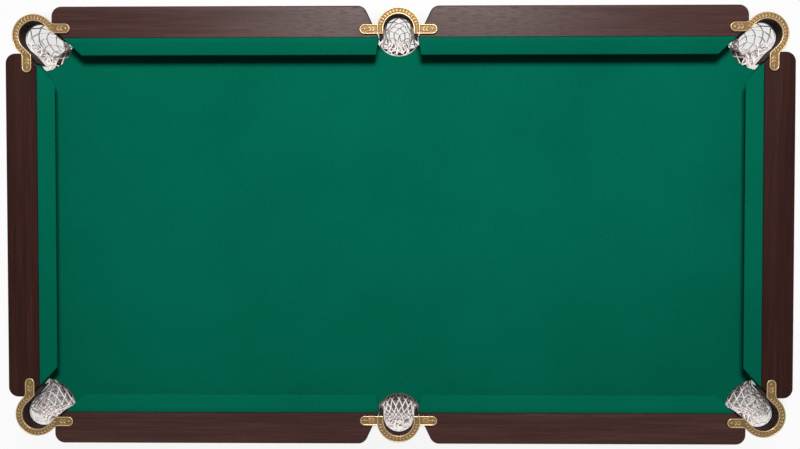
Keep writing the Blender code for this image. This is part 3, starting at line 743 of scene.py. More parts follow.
def ornament(kind, sides, point):
    # height of the leaves over the sunk floor at a point of the right half
    onArm = (point - sides["base"]).dot(sides["along"])
    off = (point - sides["base"]).dot(sides["across"])
    if onArm > sides["armFrom"] - leaves["armLead"] and (kind == "corner" or point.x > ringOut):
        heights = [stemHeight(off, leaves["armStem"])]
        first = sides["armFrom"] + leaves["armFirst"]
        for k in range(leaves["armCount"]):
            x = onArm - first - k * leaves["armPitch"]
            heights.append(leafPair(x, off, leaves["armOffset"], leaves["armLength"], leaves["armWidth"]))
        bead = (leaves["bead"] ** 2 - (point - sides["tip"]).length_squared) / leaves["bead"] ** 2
        return max(*heights, leaves["height"] * math.sqrt(max(0.0, bead)))
    angle = math.atan2(point.x, point.y)
    if angle > math.radians(leaves[f"{kind}Span"]):
        return 0.0
    middle = pocket["radius"] + pocket["band"] / 2
    run, off = angle * middle, point.length - middle
    heights = [stemHeight(off, leaves["ringStem"])]
    nearest = int(run / leaves["pitch"])
    for k in range(max(0, nearest - 1), nearest + 2):
        x = run - (k + leaves["first"]) * leaves["pitch"]
        heights.append(leafPair(x, off, leaves["offset"], leaves["length"], leaves["width"]))
    return max(heights)


def crossBar(kind, sides, point):
    # raised bars between a middle iron's ring and its arms; a corner iron runs on without one
    if kind == "corner" or point.y > sides["half"]:
        return 0.0
    offs = (point.length - ringOut + iron["barIn"], point.length - pocket["radius"] - iron["barIn"])
    return max(smoothStep(*iron["barSlope"], abs(off)) for off in offs)


def ironMesh(kind):
    low, top = ironPlate
    floor = top - iron["sink"]
    sides = ironSides(kind)
    stations = len(sides["outer"])
    across = iron["acrossSteps"]
    grid = []
    for i in range(stations):
        o, n = sides["outer"][i], sides["inner"][i]
        inTip = (o + n).dot(sides["along"]) / 2 > sides["tipAt"] + sides["base"].dot(sides["along"])
        row = []
        for k in range(across + 1):
            point = o.lerp(n, k / across)
            if inTip:
                gap = sides["half"] - (point - sides["tip"]).length
            else:
                gap = min(k, across - k) / across * (o - n).length
            gap = max(0.0, gap)
            rim = 1.0 - smoothStep(iron["rim"], iron["rim"] + iron["slope"], gap)
            inside = smoothStep(iron["rim"] * iron["rimFoot"], iron["rim"] + iron["slope"], gap)
            raised = max(rim, crossBar(kind, sides, point))
            height = max(raised * iron["sink"], inside * ornament(kind, sides, point))
            worn = iron["edge"] * (1.0 - smoothStep(0.0, iron["edge"] * iron["edgeFade"], gap)) ** 2
            row.append((point, floor + height - worn, min(1.0, height / iron["sink"])))
        grid.append(row)
    mirror = [[(Vector((-p.x, p.y)), z, r) for p, z, r in row] for row in reversed(grid[1:])]
    grid = mirror + grid
    shaped = bmesh.new()
    relief = shaped.verts.layers.float.new("relief")

    def corner(point, z, share):
        made = shaped.verts.new((point.x, point.y, z))
        made[relief] = share
        return made

    tops = [[corner(*spot) for spot in row] for row in grid]
    lows = [[corner(row[k][0], low, iron["sideRelief"]) for k in (0, -1)] for row in grid]
    for a, b in zip(tops, tops[1:]):
        for k in range(across):
            shaped.faces.new((a[k], a[k + 1], b[k + 1], b[k]))
    for i in range(len(tops) - 1):
        for k, edge in ((0, 0), (1, -1)):
            shaped.faces.new((lows[i][k], lows[i + 1][k], tops[i + 1][edge], tops[i][edge]))
        shaped.faces.new((lows[i][0], lows[i][1], lows[i + 1][1], lows[i + 1][0]))
    for i in (0, -1):
        shaped.faces.new([lows[i][0]] + tops[i] + [lows[i][1]])
    bmesh.ops.recalc_face_normals(shaped, faces=shaped.faces)
    return plainMesh(f"iron_{kind}", shaped)


# the leather wall under each iron, which the net hangs from
wall = {"inner": 0.038, "thickness": 0.003, "leg": 0.009, "lap": 0.0001, "gap": 0.0002, "drop": 0.0500,
        "round": 0.0012, "arcSteps": 40, "endSteps": 6, "cornerTurn": (0.0022, 0.043, 0.0),
        "middleTurn": (0.0060, 0.012, 0.0075)}


def liningMesh(kind):
    inner, outer = wall["inner"], wall["inner"] + wall["thickness"]
    top, low = ironPlate[0] - wall["gap"], ironPlate[0] - wall["drop"]
    r = wall["round"]
    section = [(inner, low + r), (inner + r, low), (outer - r, low), (outer, low + r),
               (outer, top), (inner, top)]
    # each end turns out to its rail, and thickens into an ear that fills the rail's flare
    turn, length, ear = wall[f"{kind}Turn"]
    side = [[Vector((reach, -wall["leg"] + wall["lap"], z)) for reach, z in section]]
    for i in range(wall["endSteps"] + 1):
        share = i / wall["endSteps"]
        fill = ear * (1.0 - share)
        ring = []
        for reach, z in section:
            x = reach + turn * share * share + fill * (reach > inner + r)
            ring.append(Vector((x, -wall["leg"] - length * share, z)))
        side.append(ring)
    rings = list(reversed(side))
    for p in arc((0, 0), 1.0, 0.0, 180.0, wall["arcSteps"]):
        rings.append([Vector((p.x * reach, p.y * reach, z)) for reach, z in section])
    rings += [[Vector((-p.x, p.y, p.z)) for p in ring] for ring in side]
    return loft("lining", rings)


def addIrons():
    ironKinds = {kind: ironMesh(kind) for kind in ("corner", "middle")}
    liners = {kind: liningMesh(kind) for kind in ("corner", "middle")}
    for name, kind, matrix in pocketPlaces():
        piece(f"castIron_{name}", moved(ironKinds[kind], matrix), brass,
              replaced=[f"pocket_iron_{name}"], smooth=50.0)
        piece(f"pocketLining_{name}", moved(liners[kind], matrix), lining)
    print("irons:", {kind: len(mesh.polygons) for kind, mesh in ironKinds.items()}, "faces")


# geometry node trees
def geo(tree, kind, sockets, settings=None, output=0):
    return addNode(tree, "GeometryNode" + kind, sockets, settings, output)


def newTree(name, **inputs):
    tree = bpy.data.node_groups.new(name, "GeometryNodeTree")
    tree.interface.new_socket("Geometry", in_out="OUTPUT", socket_type="NodeSocketGeometry")
    idents = {}
    for label, kind in {"Geometry": "Geometry", **inputs}.items():
        made = tree.interface.new_socket(label, in_out="INPUT", socket_type="NodeSocket" + kind)
        idents[label] = made.identifier
    source = tree.nodes.new("NodeGroupInput")
    return tree, {label: Wire(tree, source.outputs[label]) for label in idents}, idents


def endTree(tree, geometry, look):
    real = geo(tree, "RealizeInstances", {"Geometry": geometry})
    painted = geo(tree, "SetMaterial", {"Geometry": real, "Material": look})
    tree.links.new(painted.socket, tree.nodes.new("NodeGroupOutput").inputs[0])


def grown(mesh, tree, idents, **values):
    # the plain mesh that a tree makes of a mesh
    work = addObject("work", mesh)
    modifier = work.modifiers.new("grow", "NODES")
    modifier.node_group = tree
    for label, value in values.items():
        modifier[idents[label]] = value
    graph = bpy.context.evaluated_depsgraph_get()
    made = bpy.data.meshes.new_from_object(work.evaluated_get(graph))
    bpy.data.objects.remove(work)
    return made


def netTree():
    tree, wires, idents = newTree("knottedNet", cordRadius="Float", knotRadius="Float", look="Material")
    lines = geo(tree, "MeshToCurve", {"Mesh": wires["Geometry"]})
    ring = geo(tree, "CurvePrimitiveCircle", {"Resolution": 6, "Radius": wires["cordRadius"]})
    cords = geo(tree, "CurveToMesh", {"Curve": lines, "Profile Curve": ring, "Fill Caps": True})
    knotted = geo(tree, "InputNamedAttribute", {"Name": "knot"}, {"data_type": "BOOLEAN"})
    spots = geo(tree, "MeshToPoints", {"Mesh": wires["Geometry"], "Selection": knotted})
    ball = geo(tree, "MeshIcoSphere", {"Radius": wires["knotRadius"], "Subdivisions": 2})
    knots = geo(tree, "InstanceOnPoints", {"Points": spots, "Instance": ball})
    both = tree.nodes.new("GeometryNodeJoinGeometry")
    for part in (knots, cords):
        tree.links.new(part.socket, both.inputs[0])
    endTree(tree, Wire(tree, both.outputs[0]), wires["look"])
    return tree, idents


# nets: a knotted bag under each pocket, hung from the lining and from the edge of the bed
net = {"columns": 9, "rows": 7, "cordRadius": 0.00150, "knotRadius": 0.0023, "bag": 0.0360,
       "inward": 0.0275, "gather": 0.0100, "fullness": 4.0, "taper": 0.55, "cornerGap": 0.0045,
       "middleGap": 0.0045, "cornerMouth": (0.0365, 0.0530, 0.044, 0.054),
       "middleMouth": (0.0365, 0.0500, 0.021, 0.030), "mouthStep": 0.0005, "bedShare": 0.6, "hang": 0.0015,
       "laceDepth": 0.040, "neckIn": 0.001, "neckDrop": 0.045, "funnelGap": 0.002, "floorGap": 0.004,
       "neckSteps": 4, "bagSteps": 14, "crowd": 1.5, "lean": 0.006, "leanPower": 3, "rowSteps": 4,
       "rimSteps": 8, "lineSteps": 5, "wander": 0.0024, "wanderRise": (0.3, 1.5), "wanderUp": 0.6,
       "pull": 0.05, "sag": 0.0022, "sagFirst": 0.3, "swing": 0.0007, "swingUp": 0.3, "seed": 7}
drape = {"across": 6, "rows": 10, "first": 40.0, "last": 152.0, "top": 0.0, "bottom": 0.34, "flatten": 0.45,
         "wander": 0.0016, "sag": 0.0012, "swing": 0.0009}
slack = {"layers": 2, "across": 5, "down": 4, "spread": 58.0, "first": 0.06, "last": 0.50, "stagger": 0.25,
         "rise": 0.012, "lift": 0.0075, "shake": 0.0050, "sag": 0.0040, "swing": 0.0075,
         "columnShake": 0.3, "rowShake": 0.03, "liftShake": 0.6}


def mouthRadius(kind, x, y):
    # how far the net's mouth reaches from the pocket's middle in a direction
    narrow, wide, first, last = net[f"{kind}Mouth"]
    reach = net["bag"]
    while reach < pocket[f"{kind}Cut"] - net[f"{kind}Gap"] and y < 0:
        if abs(x) * reach > narrow + (wide - narrow) * smoothStep(first, last, -y * reach):
            break
        reach += net["mouthStep"]
    return reach


def netPath(kind, turn, lean):
    # a line of points down the bag at an angle from the bed side, top first
    x, y = math.sin(turn), -math.cos(turn)
    topRadius, neckRadius = mouthRadius(kind, x, y), net["bag"] - net["neckIn"]
    bedSide = smoothStep(0.0, pocket[f"{kind}Cut"] * net["bedShare"], -y * topRadius)
    topHeight = ironPlate[0] - net["laceDepth"]
    topHeight += (boardLow - net["hang"] - topHeight) * bedSide
    funnelLow = apronTop - pocket[f"{kind}Funnel"]
    toFunnel = funnelLow - net["funnelGap"] - topHeight + net["neckDrop"]
    neckHeight = topHeight - net["neckDrop"] + toFunnel * bedSide
    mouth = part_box(f"pocket_net_back_{'left' if kind == 'corner' else 'middle'}")[1].z

    def spot(radius, height, squash):
        deep = y * radius * (net["inward"] / net["bag"] if y < 0 and squash else 1.0)
        return Vector((x * radius, deep, height))

    line = []
    for i in range(net["neckSteps"] + 1):
        t = i / net["neckSteps"]
        radius, height = topRadius + (neckRadius - topRadius) * t, topHeight + (neckHeight - topHeight) * t
        line.append(spot(radius, height, False).lerp(spot(radius, height, True), t))
    depth = mouth - (netLow + net["floorGap"])
    first = max(0.0, (mouth - neckHeight) / depth)
    start = max(0.0, 1.0 - first ** net["fullness"]) ** net["taper"]
    for i in range(1, net["bagSteps"] + 1):
        down = first + (1.0 - first) * (1 - (1 - i / net["bagSteps"]) ** net["crowd"])
        full = max(0.0, 1.0 - down ** net["fullness"]) ** net["taper"]
        radius = max(net["gather"], neckRadius * min(1.0, full / start))
        line.append(spot(radius, mouth - depth * down, True) + lean * down ** net["leanPower"])
    return line


def netMesh(kind, lean, seed):
    rng = random.Random(seed)
    columns, rows, steps = net["columns"], net["rows"], net["lineSteps"]
    fine, deepest = 2 * columns, net["rowSteps"] * rows
    mouth = []
    for degree in range(-180, 181):
        x, y = math.sin(math.radians(degree)), -math.cos(math.radians(degree))
        mouth.append(Vector((x, y)) * mouthRadius(kind, x, y))
    turns = [math.atan2(spot.x, -spot.y) for spot in resampled(mouth, fine + 1)[:-1]]
    paths = [resampled(netPath(kind, turn, lean), deepest + 1) for turn in turns]
    shaped = bmesh.new()
    knot = shaped.verts.layers.bool.new("knot")

    def at(column, row):
        # a point of the bag, at a column counted in half meshes and a row
        k = column % fine
        low, share = int(math.floor(k)), k - math.floor(k)
        j = min(max(row, 0.0) * net["rowSteps"], deepest)
        down, rest = int(math.floor(j)), j - math.floor(j)
        up = min(down + 1, deepest)
        a, b = (path[down].lerp(path[up], rest) for path in (paths[low], paths[(low + 1) % fine]))
        return a.lerp(b, share)

    def columnAt(turn):
        turn = math.remainder(turn, 2 * math.pi)
        k = max([i for i in range(fine) if turns[i] <= turn], default=0)
        after = turns[k + 1] if k + 1 < fine else math.pi
        return k + (turn - turns[k]) / (after - turns[k])

    def tie(spot):
        made = shaped.verts.new(spot)
        made[knot] = True
        return made

    def drift(size):
        return Vector([rng.uniform(-1, 1) * size for _ in range(3)])

    def either(size):
        return rng.uniform(-size, size)

    def shake(upright):
        # a random push, weaker upright than sideways
        return Vector((rng.uniform(-1, 1), rng.uniform(-1, 1), either(upright)))

    def run(first, last, sag, swing):
        # a short slack cord between two ties
        points = [first]
        side = shake(net["swingUp"]) * swing
        for s in range(1, steps):
            t = s / steps
            bow = math.sin(math.pi * t)
            middle = first.co.lerp(last.co, t) + side * bow
            middle.z -= sag * bow
            points.append(shaped.verts.new(middle))
        points.append(last)
        for a, b in zip(points, points[1:]):
            shaped.edges.new((a, b))

    def strand(ties):
        # one slack cord, drawn smoothly through its ties with a loop between each two
        spots = [ties[0]]
        for a, b in zip(ties, ties[1:]):
            spots += [a.lerp(b, 0.5) + drift(slack["swing"]) - Vector((0.0, 0.0, slack["sag"])), b]
        spots = [spots[0]] + spots + [spots[-1]]
        last = shaped.verts.new(spots[0])
        for a, b, c, d in zip(spots, spots[1:], spots[2:], spots[3:]):
            for s in range(1, steps):
                t = s / (steps - 1)
                bend = 2 * b + (c - a) * t + (2 * a - 5 * b + 4 * c - d) * t ** 2
                bend += (3 * b - a - 3 * c + d) * t ** 3
                here = shaped.verts.new(bend / 2)
                shaped.edges.new((last, here))
                last = here

    # the bag's own meshes, with a cord round its mouth
    bag = []
    start, gain = net["wanderRise"]
    for j in range(rows + 1):
        loose = net["wander"] * min(1.0, start + gain * j / rows) if 0 < j < rows else 0.0
        row = []
        for i in range(columns):
            spot = at(2 * i + j % 2, j)
            inward = Vector((-spot.x, -spot.y, 0.0)) * net["pull"] * (j > 0)
            row.append(tie(spot + shake(net["wanderUp"]) * loose + inward))
        bag.append(row)
    for j, (upper, lower) in enumerate(zip(bag, bag[1:])):
        sag = net["sag"] * (net["sagFirst"] + j / len(bag))
        for i, above in enumerate(upper):
            for k in (i, i + 1 if j % 2 else i - 1):
                run(above, lower[k % columns], sag, net["swing"])
    border = []
    for spot in resampled(mouth, net["rimSteps"] * fine + 1)[:-1]:
        border.append(shaped.verts.new(netPath(kind, math.atan2(spot.x, -spot.y), lean)[0]))
    for i, point in enumerate(border):
        shaped.edges.new((point, border[(i + 1) % len(border)]))
    # a bag that leans outwards hangs across its pocket, from the edge of the bed
    high = math.atan2(-lean.x, lean.y)
    near, far = (math.cos(math.radians(drape[end])) for end in ("first", "last"))
    sheet = []
    for j in range(drape["rows"] + 1 if lean.y > 0 else 0):
        t = j / drape["rows"]
        spread = math.acos(near + (far - near) * t)
        level = rows * (drape["top"] + (drape["bottom"] - drape["top"]) * t)
        left, right = at(columnAt(high - spread), level), at(columnAt(high + spread), level)
        row = []
        for i in range(drape["across"] + 1 - j % 2):
            share = (i + 0.5 * (j % 2)) / drape["across"]
            onWall = at(columnAt(high + spread * (2 * share - 1)), level)
            spot = onWall.lerp(left.lerp(right, share), smoothStep(0.0, drape["flatten"], t))
            row.append(tie(spot + drift(drape["wander"]) * (0 < j < drape["rows"])))
        sheet.append(row)
    for j, (upper, lower) in enumerate(zip(sheet, sheet[1:])):
        wide, other = (lower, upper) if j % 2 else (upper, lower)
        for i, middle in enumerate(other):
            for end in (wide[i], wide[i + 1]):
                run(end, middle, drape["sag"], drape["swing"])
    # the slack of the empty bag lies in loose folds on the side it leans to
    facing = columnAt(math.atan2(lean.x, -lean.y))
    half = slack["spread"] / 360.0 * fine
    drop = slack["last"] - slack["first"]
    for layer in range(slack["layers"]):
        folds = []
        for j in range(slack["down"]):
            row = []
            for i in range(slack["across"]):
                across = 2 * (i + 0.5 * (j % 2)) / slack["across"] - 1
                column = facing + half * across + either(slack["columnShake"])
                level = slack["first"] + drop * (j + slack["stagger"] * layer) / slack["down"]
                spot = at(column, rows * (level + either(slack["rowShake"])))
                inward = Vector((-spot.x, -spot.y, slack["rise"])).normalized()
                lift = inward * slack["lift"] * (1 + layer + either(slack["liftShake"]))
                lift += drift(slack["shake"])
                row.append(spot + lift * (0 < j < slack["down"] - 1))      # a fold's ends meet the bag
            folds.append(row)
        for i in range(slack["across"]):
            strand([row[i] for row in folds])
            if i:
                strand([row[i - j % 2] for j, row in enumerate(folds)])
    return plainMesh("lattice", shaped)


def addNets():
    tree, idents = netTree()
    faces = 0
    for i, (name, kind, matrix) in enumerate(pocketPlaces()):
        lean = matrix.to_3x3().inverted() @ Vector((0.0, -net["lean"], 0.0))
        mesh = grown(netMesh(kind, lean, net["seed"] + i), tree, idents, look=cord,
                     cordRadius=net["cordRadius"], knotRadius=net["knotRadius"])
        mesh.transform(matrix)
        faces += len(mesh.polygons)
        piece(f"knottedNet_{name}", mesh, cord, replaced=[f"pocket_net_{name}"], smooth=60.0)
    print("nets:", faces, "faces")


# plain nodes: their solids with clean faces and softened edges
trim = {"merge": 1e-5, "flat": 0.5, "smooth": 40.0, "angle": 48.0, "steps": 2, "apron": 0.0012,
        "tube": 0.0004, "bracket": 0.0005, "stay": 0.0006}


def dressed(node, look, body, soften):
    shaped = bmesh.new()
    shaped.from_mesh(nodes[node].data)
    bmesh.ops.remove_doubles(shaped, verts=shaped.verts, dist=trim["merge"])
    bmesh.ops.dissolve_limit(shaped, angle_limit=math.radians(trim["flat"]), verts=shaped.verts,
                             edges=shaped.edges)
    mesh = meshOf(f"{node}_shown", shaped)
    made = piece(f"{node}_shown", mesh, look, body, [node], trim["smooth"])
    if soften:
        bevel = made.modifiers.new("soften", "BEVEL")
        bevel.width = soften
        bevel.segments = trim["steps"]
        bevel.limit_method = "ANGLE"
        bevel.angle_limit = math.radians(trim["angle"])


def addFrames():
    for row in ("back", "front"):
        dressed(f"side_apron_{row}", woodAlongLit, "table", trim["apron"])
    for side in ("left", "right"):
        dressed(f"end_apron_{side}", woodAcross, "table", trim["apron"])
        legs = f"leg_frame_{side}"
        dressed(f"pivot_tube_{side}", paint, legs, trim["tube"])
        dressed(f"stretcher_{side}", paint, legs, 0.0)
        dressed(f"stay_bracket_{side}", zinc, "table", trim["bracket"])
        for link in ("lower", "upper"):
            dressed(f"stay_{link}_{side}", zinc, f"{link}_stay_{side}", trim["stay"])
        for row in ("back", "front"):
            dressed(f"leg_{side}_{row}", paint, legs, trim["tube"])
            dressed(f"hinge_bracket_{side}_{row}", zinc, "table", trim["bracket"])
    for name, node in nodes.items():
        if name == "bed_board" or "bearer" in name or "corner_block" in name:
            node.data.materials.clear()
            node.data.materials.append(board)


# levelling feet: a ribbed pad on a threaded stem
foot = {"ribs": 20, "ribSteps": 4, "ribDepth": 0.0007, "chamfer": 0.003, "brow": 0.001, "neck": 0.011,
        "lip": (0.0015, 0.0007), "height": 0.0122, "stem": 0.0050, "pitch": 0.0015, "pitchSteps": 6,
        "threadDepth": 0.0006, "stemSteps": 24}


def footMeshes(top):
    radius = (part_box("foot_left_back")[1].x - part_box("foot_left_back")[0].x) / 2
    chamfer, brow, (lipOut, lipDown) = foot["chamfer"], foot["brow"], foot["lip"]
    low, neck, fine = foot["height"], foot["neck"], foot["pitchSteps"]
    profile = [(radius - chamfer, 0.0, 0.0), (radius - chamfer * 0.3, chamfer * 0.3, 0.5),
               (radius, chamfer, 1.0), (radius, 2 * chamfer, 1.0), (radius - brow, 2 * chamfer + brow, 0.6),
               (neck + lipOut, low - lipDown, 0.0), (neck, low, 0.0)]
    rings = []
    for reach, height, rib in profile:
        depth = foot["ribDepth"] * rib
        rings.append(ringOf(foot["ribs"] * foot["ribSteps"], height,
                            lambda angle: reach - depth * (0.5 - 0.5 * math.cos(foot["ribs"] * angle))))
    pad = loft("footPad", rings)
    rings = []
    count = int((top - low) / foot["pitch"] * fine)
    for k in range(count + 1):
        height = low + (top - low) * k / count
        ease = min(1.0, (count - k) / fine)                   # the thread runs out at the tip

        def threadAt(angle):
            phase = (height / foot["pitch"] - angle / (2 * math.pi)) % 1.0
            return foot["stem"] - foot["threadDepth"] * (abs(2 * phase - 1) * ease + 1 - ease)

        rings.append(ringOf(foot["stemSteps"], height, threadAt))
    return pad, loft("footStem", rings)


def addFeet():
    pad, stem = footMeshes(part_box("foot_left_back")[1].z)
    for side in ("left", "right"):
        for row in ("back", "front"):
            node, body = f"foot_{side}_{row}", f"level_{side}_{row}"
            low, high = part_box(node)
            place = Matrix.Translation(((low.x + high.x) / 2, (low.y + high.y) / 2, 0.0))
            piece(f"footPad_{side}_{row}", moved(pad, place), plastic, body, [node])
            piece(f"footStem_{side}_{row}", moved(stem, place), zinc, body)


# fixings: screws, rail bolts and weld beads, set out by geometry nodes
fixing = {"screwRadius": 0.0040, "screwHeight": 0.0020, "screwSteps": 16, "dome": 0.65, "sunk": 0.0002,
          "screwRings": (1.0, 1.0, 0.82, 0.55, 0.36, 0.18, 0.01), "slotReach": 0.55, "slotHalf": 0.15,
          "slotDepth": 0.55, "boltRadius": 0.0062, "boltHeight": 0.0050, "boltSteps": 24,
          "boltEdge": (0.86, 0.85), "washerRadius": 0.0110, "washerHeight": 0.0014,
          "washerEdge": (0.97, 0.8), "beadRadius": 0.0021, "beads": 24, "seamRadius": 0.0131,
          "bearerInset": 0.016,
          "bearerRows": (-0.395, -0.245, -0.085, 0.085, 0.245, 0.395), "stayInset": (0.013, 0.016, 0.004),
          "hingeInset": (0.008, 0.003), "blockInset": 0.018, "boltOut": 0.072,
          "longBolts": (0.150, 0.430, 0.710), "endBolt": 0.240}
plug = {"steps": 32, "profile": [(0.00001, -0.006), (0.0100, -0.006), (0.0100, 0.0), (0.0124, 0.0),
                                 (0.0124, 0.0010), (0.0105, 0.0022), (0.0060, 0.0029), (0.00001, 0.0031)]}


def screwHead():
    # a domed head with a cross recess, its seat at the origin
    radius, height, steps = fixing["screwRadius"], fixing["screwHeight"], fixing["screwSteps"]
    rings = []
    for share in fixing["screwRings"]:
        ring = []
        for i in range(steps):
            angle = 2 * math.pi * i / steps
            x, y = share * math.cos(angle), share * math.sin(angle)
            z = height * (1.0 - fixing["dome"] * share * share)
            if share <= fixing["slotReach"] and min(abs(x), abs(y)) < fixing["slotHalf"]:
                z -= height * fixing["slotDepth"]
            ring.append(Vector((x * radius, y * radius, z)))
        rings.append(ring)
    for point in rings[0]:
        point.z = -fixing["sunk"]
    return loft("screwHead", rings)


def sixSided(angle):
    corner = (angle + math.pi / 6) % (math.pi / 3) - math.pi / 6
    return 1.0 / math.cos(corner)


def boltHead():
    # a six-sided head on a washer, its seat at the origin
    washer, thick = fixing["washerRadius"], fixing["washerHeight"]
    bolt, tall = fixing["boltRadius"], fixing["boltHeight"]
    (washerIn, washerUp), (boltIn, boltUp) = fixing["washerEdge"], fixing["boltEdge"]
    profile = [(washer, 0.0, 0), (washer, thick * washerUp, 0), (washer * washerIn, thick, 0),
               (bolt, thick, 1), (bolt, thick + tall * boltUp, 1), (bolt * boltIn, thick + tall, 0)]
    rings = []
    for reach, height, flats in profile:
        rings.append(ringOf(fixing["boltSteps"], height,
                            lambda angle: reach * (sixSided(angle) if flats else 1.0)))
    return loft("boltHead", rings)


def placed(tree, mesh, thing):
    # a thing at every vertex of a mesh, turned to the vertex's facing
    spots = geo(tree, "MeshToPoints", {"Mesh": mesh})
    facing = geo(tree, "InputNamedAttribute", {"Name": "facing"}, {"data_type": "FLOAT_VECTOR"})
    turn = addNode(tree, "FunctionNodeAlignRotationToVector", {"Vector": facing}, {"axis": "Z"})
    return geo(tree, "InstanceOnPoints", {"Points": spots, "Instance": thing, "Rotation": turn})


def headTree():
    tree, wires, idents = newTree("fixingHeads", head="Object", look="Material")
    head = geo(tree, "ObjectInfo", {"Object": wires["head"], "As Instance": True}, None, "Geometry")
    endTree(tree, placed(tree, wires["Geometry"], head), wires["look"])
    return tree, idents


def seamTree():
    tree, wires, idents = newTree("weldSeams", seamRadius="Float", beadRadius="Float", beads="Int",
                                  look="Material")
    ring = geo(tree, "CurvePrimitiveCircle", {"Resolution": wires["beads"], "Radius": wires["seamRadius"]})
    spots = geo(tree, "CurveToPoints", {"Curve": ring}, {"mode": "EVALUATED"})
    bead = geo(tree, "MeshIcoSphere", {"Radius": wires["beadRadius"], "Subdivisions": 2})
    seam = geo(tree, "InstanceOnPoints", {"Points": spots, "Instance": bead})
    endTree(tree, placed(tree, wires["Geometry"], seam), wires["look"])
    return tree, idents


def spotMesh(spots):
    mesh = bpy.data.meshes.new("spots")
    mesh.from_pydata([place for place, _ in spots], [], [])
    facing = mesh.attributes.new("facing", "FLOAT_VECTOR", "POINT")
    facing.data.foreach_set("vector", [value for _, way in spots for value in way])
    return mesh


def fixingSpots():
    down = (0.0, 0.0, -1.0)
    screws, bolts = [], []
    inset = fixing["bearerInset"]
    for node in ("leg_bearer_left", "leg_bearer_right", "middle_bearer"):
        low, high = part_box(node)
        for x in (low.x + inset, high.x - inset):
            screws += [((x, y, low.z), down) for y in fixing["bearerRows"]]
    for side, sign in (("left", -1), ("right", 1)):
        low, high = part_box(f"stay_bracket_{side}")
        inset, back, drop = fixing["stayInset"]
        for x in (low.x + inset, high.x - inset):
            screws.append(((x, high.y - back, high.z - drop), down))
        for row, way in (("back", 1), ("front", -1)):
            low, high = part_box(f"hinge_bracket_{side}_{row}")
            inset, drop = fixing["hingeInset"]
            for x in (low.x + inset, high.x - inset):
                screws.append(((x, (low.y + high.y) / 2, high.z - drop), down))
            low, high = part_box(f"corner_block_{row}_{side}")
            inset = fixing["blockInset"]
            for z in (low.z + inset, high.z - inset):
                screws.append((((low.x + high.x) / 2, (low.y + high.y) / 2, z), (-sign, -way, 0.0)))
    endX, longY = noseX + fixing["boltOut"], noseY + fixing["boltOut"]
    for up in (1, -1):
        for side in (1, -1):
            bolts += [((side * x, up * longY, boardLow), down) for x in fixing["longBolts"]]
            bolts.append(((side * endX, up * fixing["endBolt"], boardLow), down))
    bolts += [((side * endX, 0.0, boardLow), down) for side in (1, -1)]
    return screws, bolts


def addFixings():
    screws, bolts = fixingSpots()
    tree, idents = headTree()
    for name, spots, head in (("frameScrews", screws, screwHead()), ("railBolts", bolts, boltHead())):
        carrier = addObject("head", head)
        mesh = grown(spotMesh(spots), tree, idents, head=carrier, look=zinc)
        bpy.data.objects.remove(carrier)
        piece(name, mesh, zinc, smooth=30.0)
    tree, idents = seamTree()
    plugRings = []
    for reach, height in plug["profile"]:
        plugRings.append(ringOf(plug["steps"], height, lambda angle: reach))
    plugMesh = loft("tubePlug", plugRings)
    for side in ("left", "right"):
        low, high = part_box(f"stretcher_{side}")
        middle = (low + high) / 2
        spots = [((middle.x, y, middle.z), (0.0, 1.0, 0.0)) for y in (low.y, high.y)]
        mesh = grown(spotMesh(spots), tree, idents, seamRadius=fixing["seamRadius"],
                     beadRadius=fixing["beadRadius"], beads=fixing["beads"], look=paint)
        piece(f"weldSeams_{side}", mesh, paint, f"leg_frame_{side}", smooth=60.0)
        low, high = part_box(f"pivot_tube_{side}")
        middle = (low + high) / 2
        for row, y, way in (("back", high.y, -1), ("front", low.y, 1)):
            place = Matrix.Translation((middle.x, y, middle.z)) @ Matrix.Rotation(way * math.pi / 2, 4, "X")
            piece(f"tubePlug_{side}_{row}", moved(plugMesh, place), plastic,
                  f"leg_frame_{side}")
    print("fixings:", len(screws), "screws,", len(bolts), "rail bolts")


# pale floor, soft key light from beyond the back rail, a weak fill
light = {"keyPlace": (0.12, 2.15, 4.35), "keySize": 1.15, "keyPower": 205.0, "fill": 0.135,
         "sky": (0.97, 0.985, 1.0), "floorSize": 16.0, "paleFloor": 0.86, "floorWhite": 0.90,
         "underWhite": 0.04, "under": (1.205, 0.625), "underFade": 0.08}


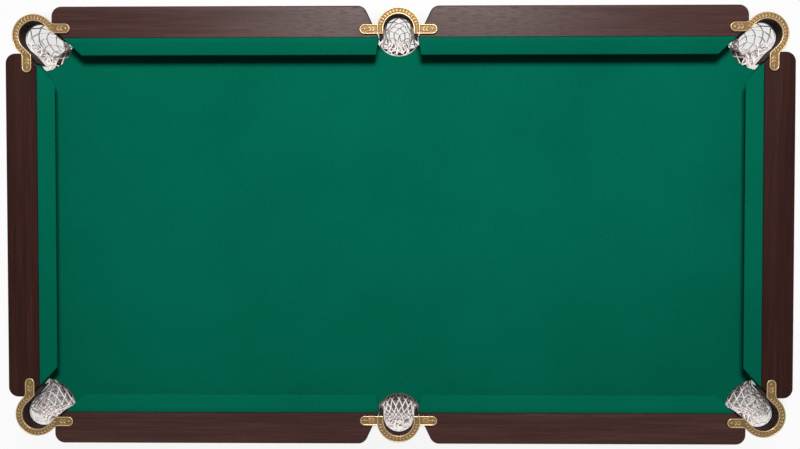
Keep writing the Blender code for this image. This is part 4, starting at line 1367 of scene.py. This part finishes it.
def addStage():
    shaped = bmesh.new()
    bmesh.ops.create_grid(shaped, x_segments=1, y_segments=1, size=light["floorSize"] / 2)
    floor = addObject("floor", meshOf("floor", shaped))
    look = Look("paleFloor", {"Roughness": 0.9, "Specular IOR Level": 0.1,
                              "Base Color": (light["paleFloor"],) * 3})
    glow = look.node("Emission", {"Color": (1.0, 1.0, 1.0), "Strength": 1.0})
    # the white of the background fades out under the table, where the floor keeps the shadow
    axes = look.node("SeparateXYZ", {"Vector": look.node("TexCoord", output="Object")}).socket.node
    beyond = []
    for axis, reach in zip("XY", light["under"]):
        beyond.append((Wire(look.tree, axes.outputs[axis]).size() - reach).atLeast(0.0))
    away = (beyond[0] * beyond[0] + beyond[1] * beyond[1]) ** 0.5
    clear = look.node("MapRange", {"Value": away, "From Max": light["underFade"]},
                      {"interpolation_type": "SMOOTHSTEP"})
    share = light["underWhite"] + (light["floorWhite"] - light["underWhite"]) * clear
    mixed = look.node("MixShader", {0: seenRays(look.tree) * share, 2: glow})
    look.tree.links.new(look.shader.outputs[0], mixed.socket.node.inputs[1])
    look.tree.links.new(mixed.socket, look.tree.nodes["Material Output"].inputs["Surface"])
    floor.data.materials.append(look.material)
    lamp = bpy.data.lights.new("key", "AREA")
    lamp.shape = "SQUARE"
    lamp.size = light["keySize"]
    lamp.energy = light["keyPower"]
    key = addObject("key", lamp)
    key.location = light["keyPlace"]
    key.rotation_euler = (Vector((0, 0, railTop)) - key.location).to_track_quat("-Z", "Y").to_euler()
    world = bpy.context.scene.world or bpy.data.worlds.new("world")
    bpy.context.scene.world = world
    world.use_nodes = True
    tree = world.node_tree
    tree.nodes.clear()
    level = light["fill"] + (1.0 - light["fill"]) * seenRays(tree)
    sky = addNode(tree, "ShaderNodeBackground", {"Color": light["sky"], "Strength": level})
    tree.links.new(sky.socket, tree.nodes.new("ShaderNodeOutputWorld").inputs["Surface"])


def seenRays(tree):
    path = tree.nodes.new("ShaderNodeLightPath")
    wires = [Wire(tree, path.outputs[f"Is {ray} Ray"]) for ray in ("Camera", "Glossy", "Transmission")]
    return wires[0].atLeast(wires[1]).atLeast(wires[2])


for add in (addRails, addCushions, addBedCloth, addIrons, addNets, addFrames, addFeet, addFixings,
            addStage):
    add()
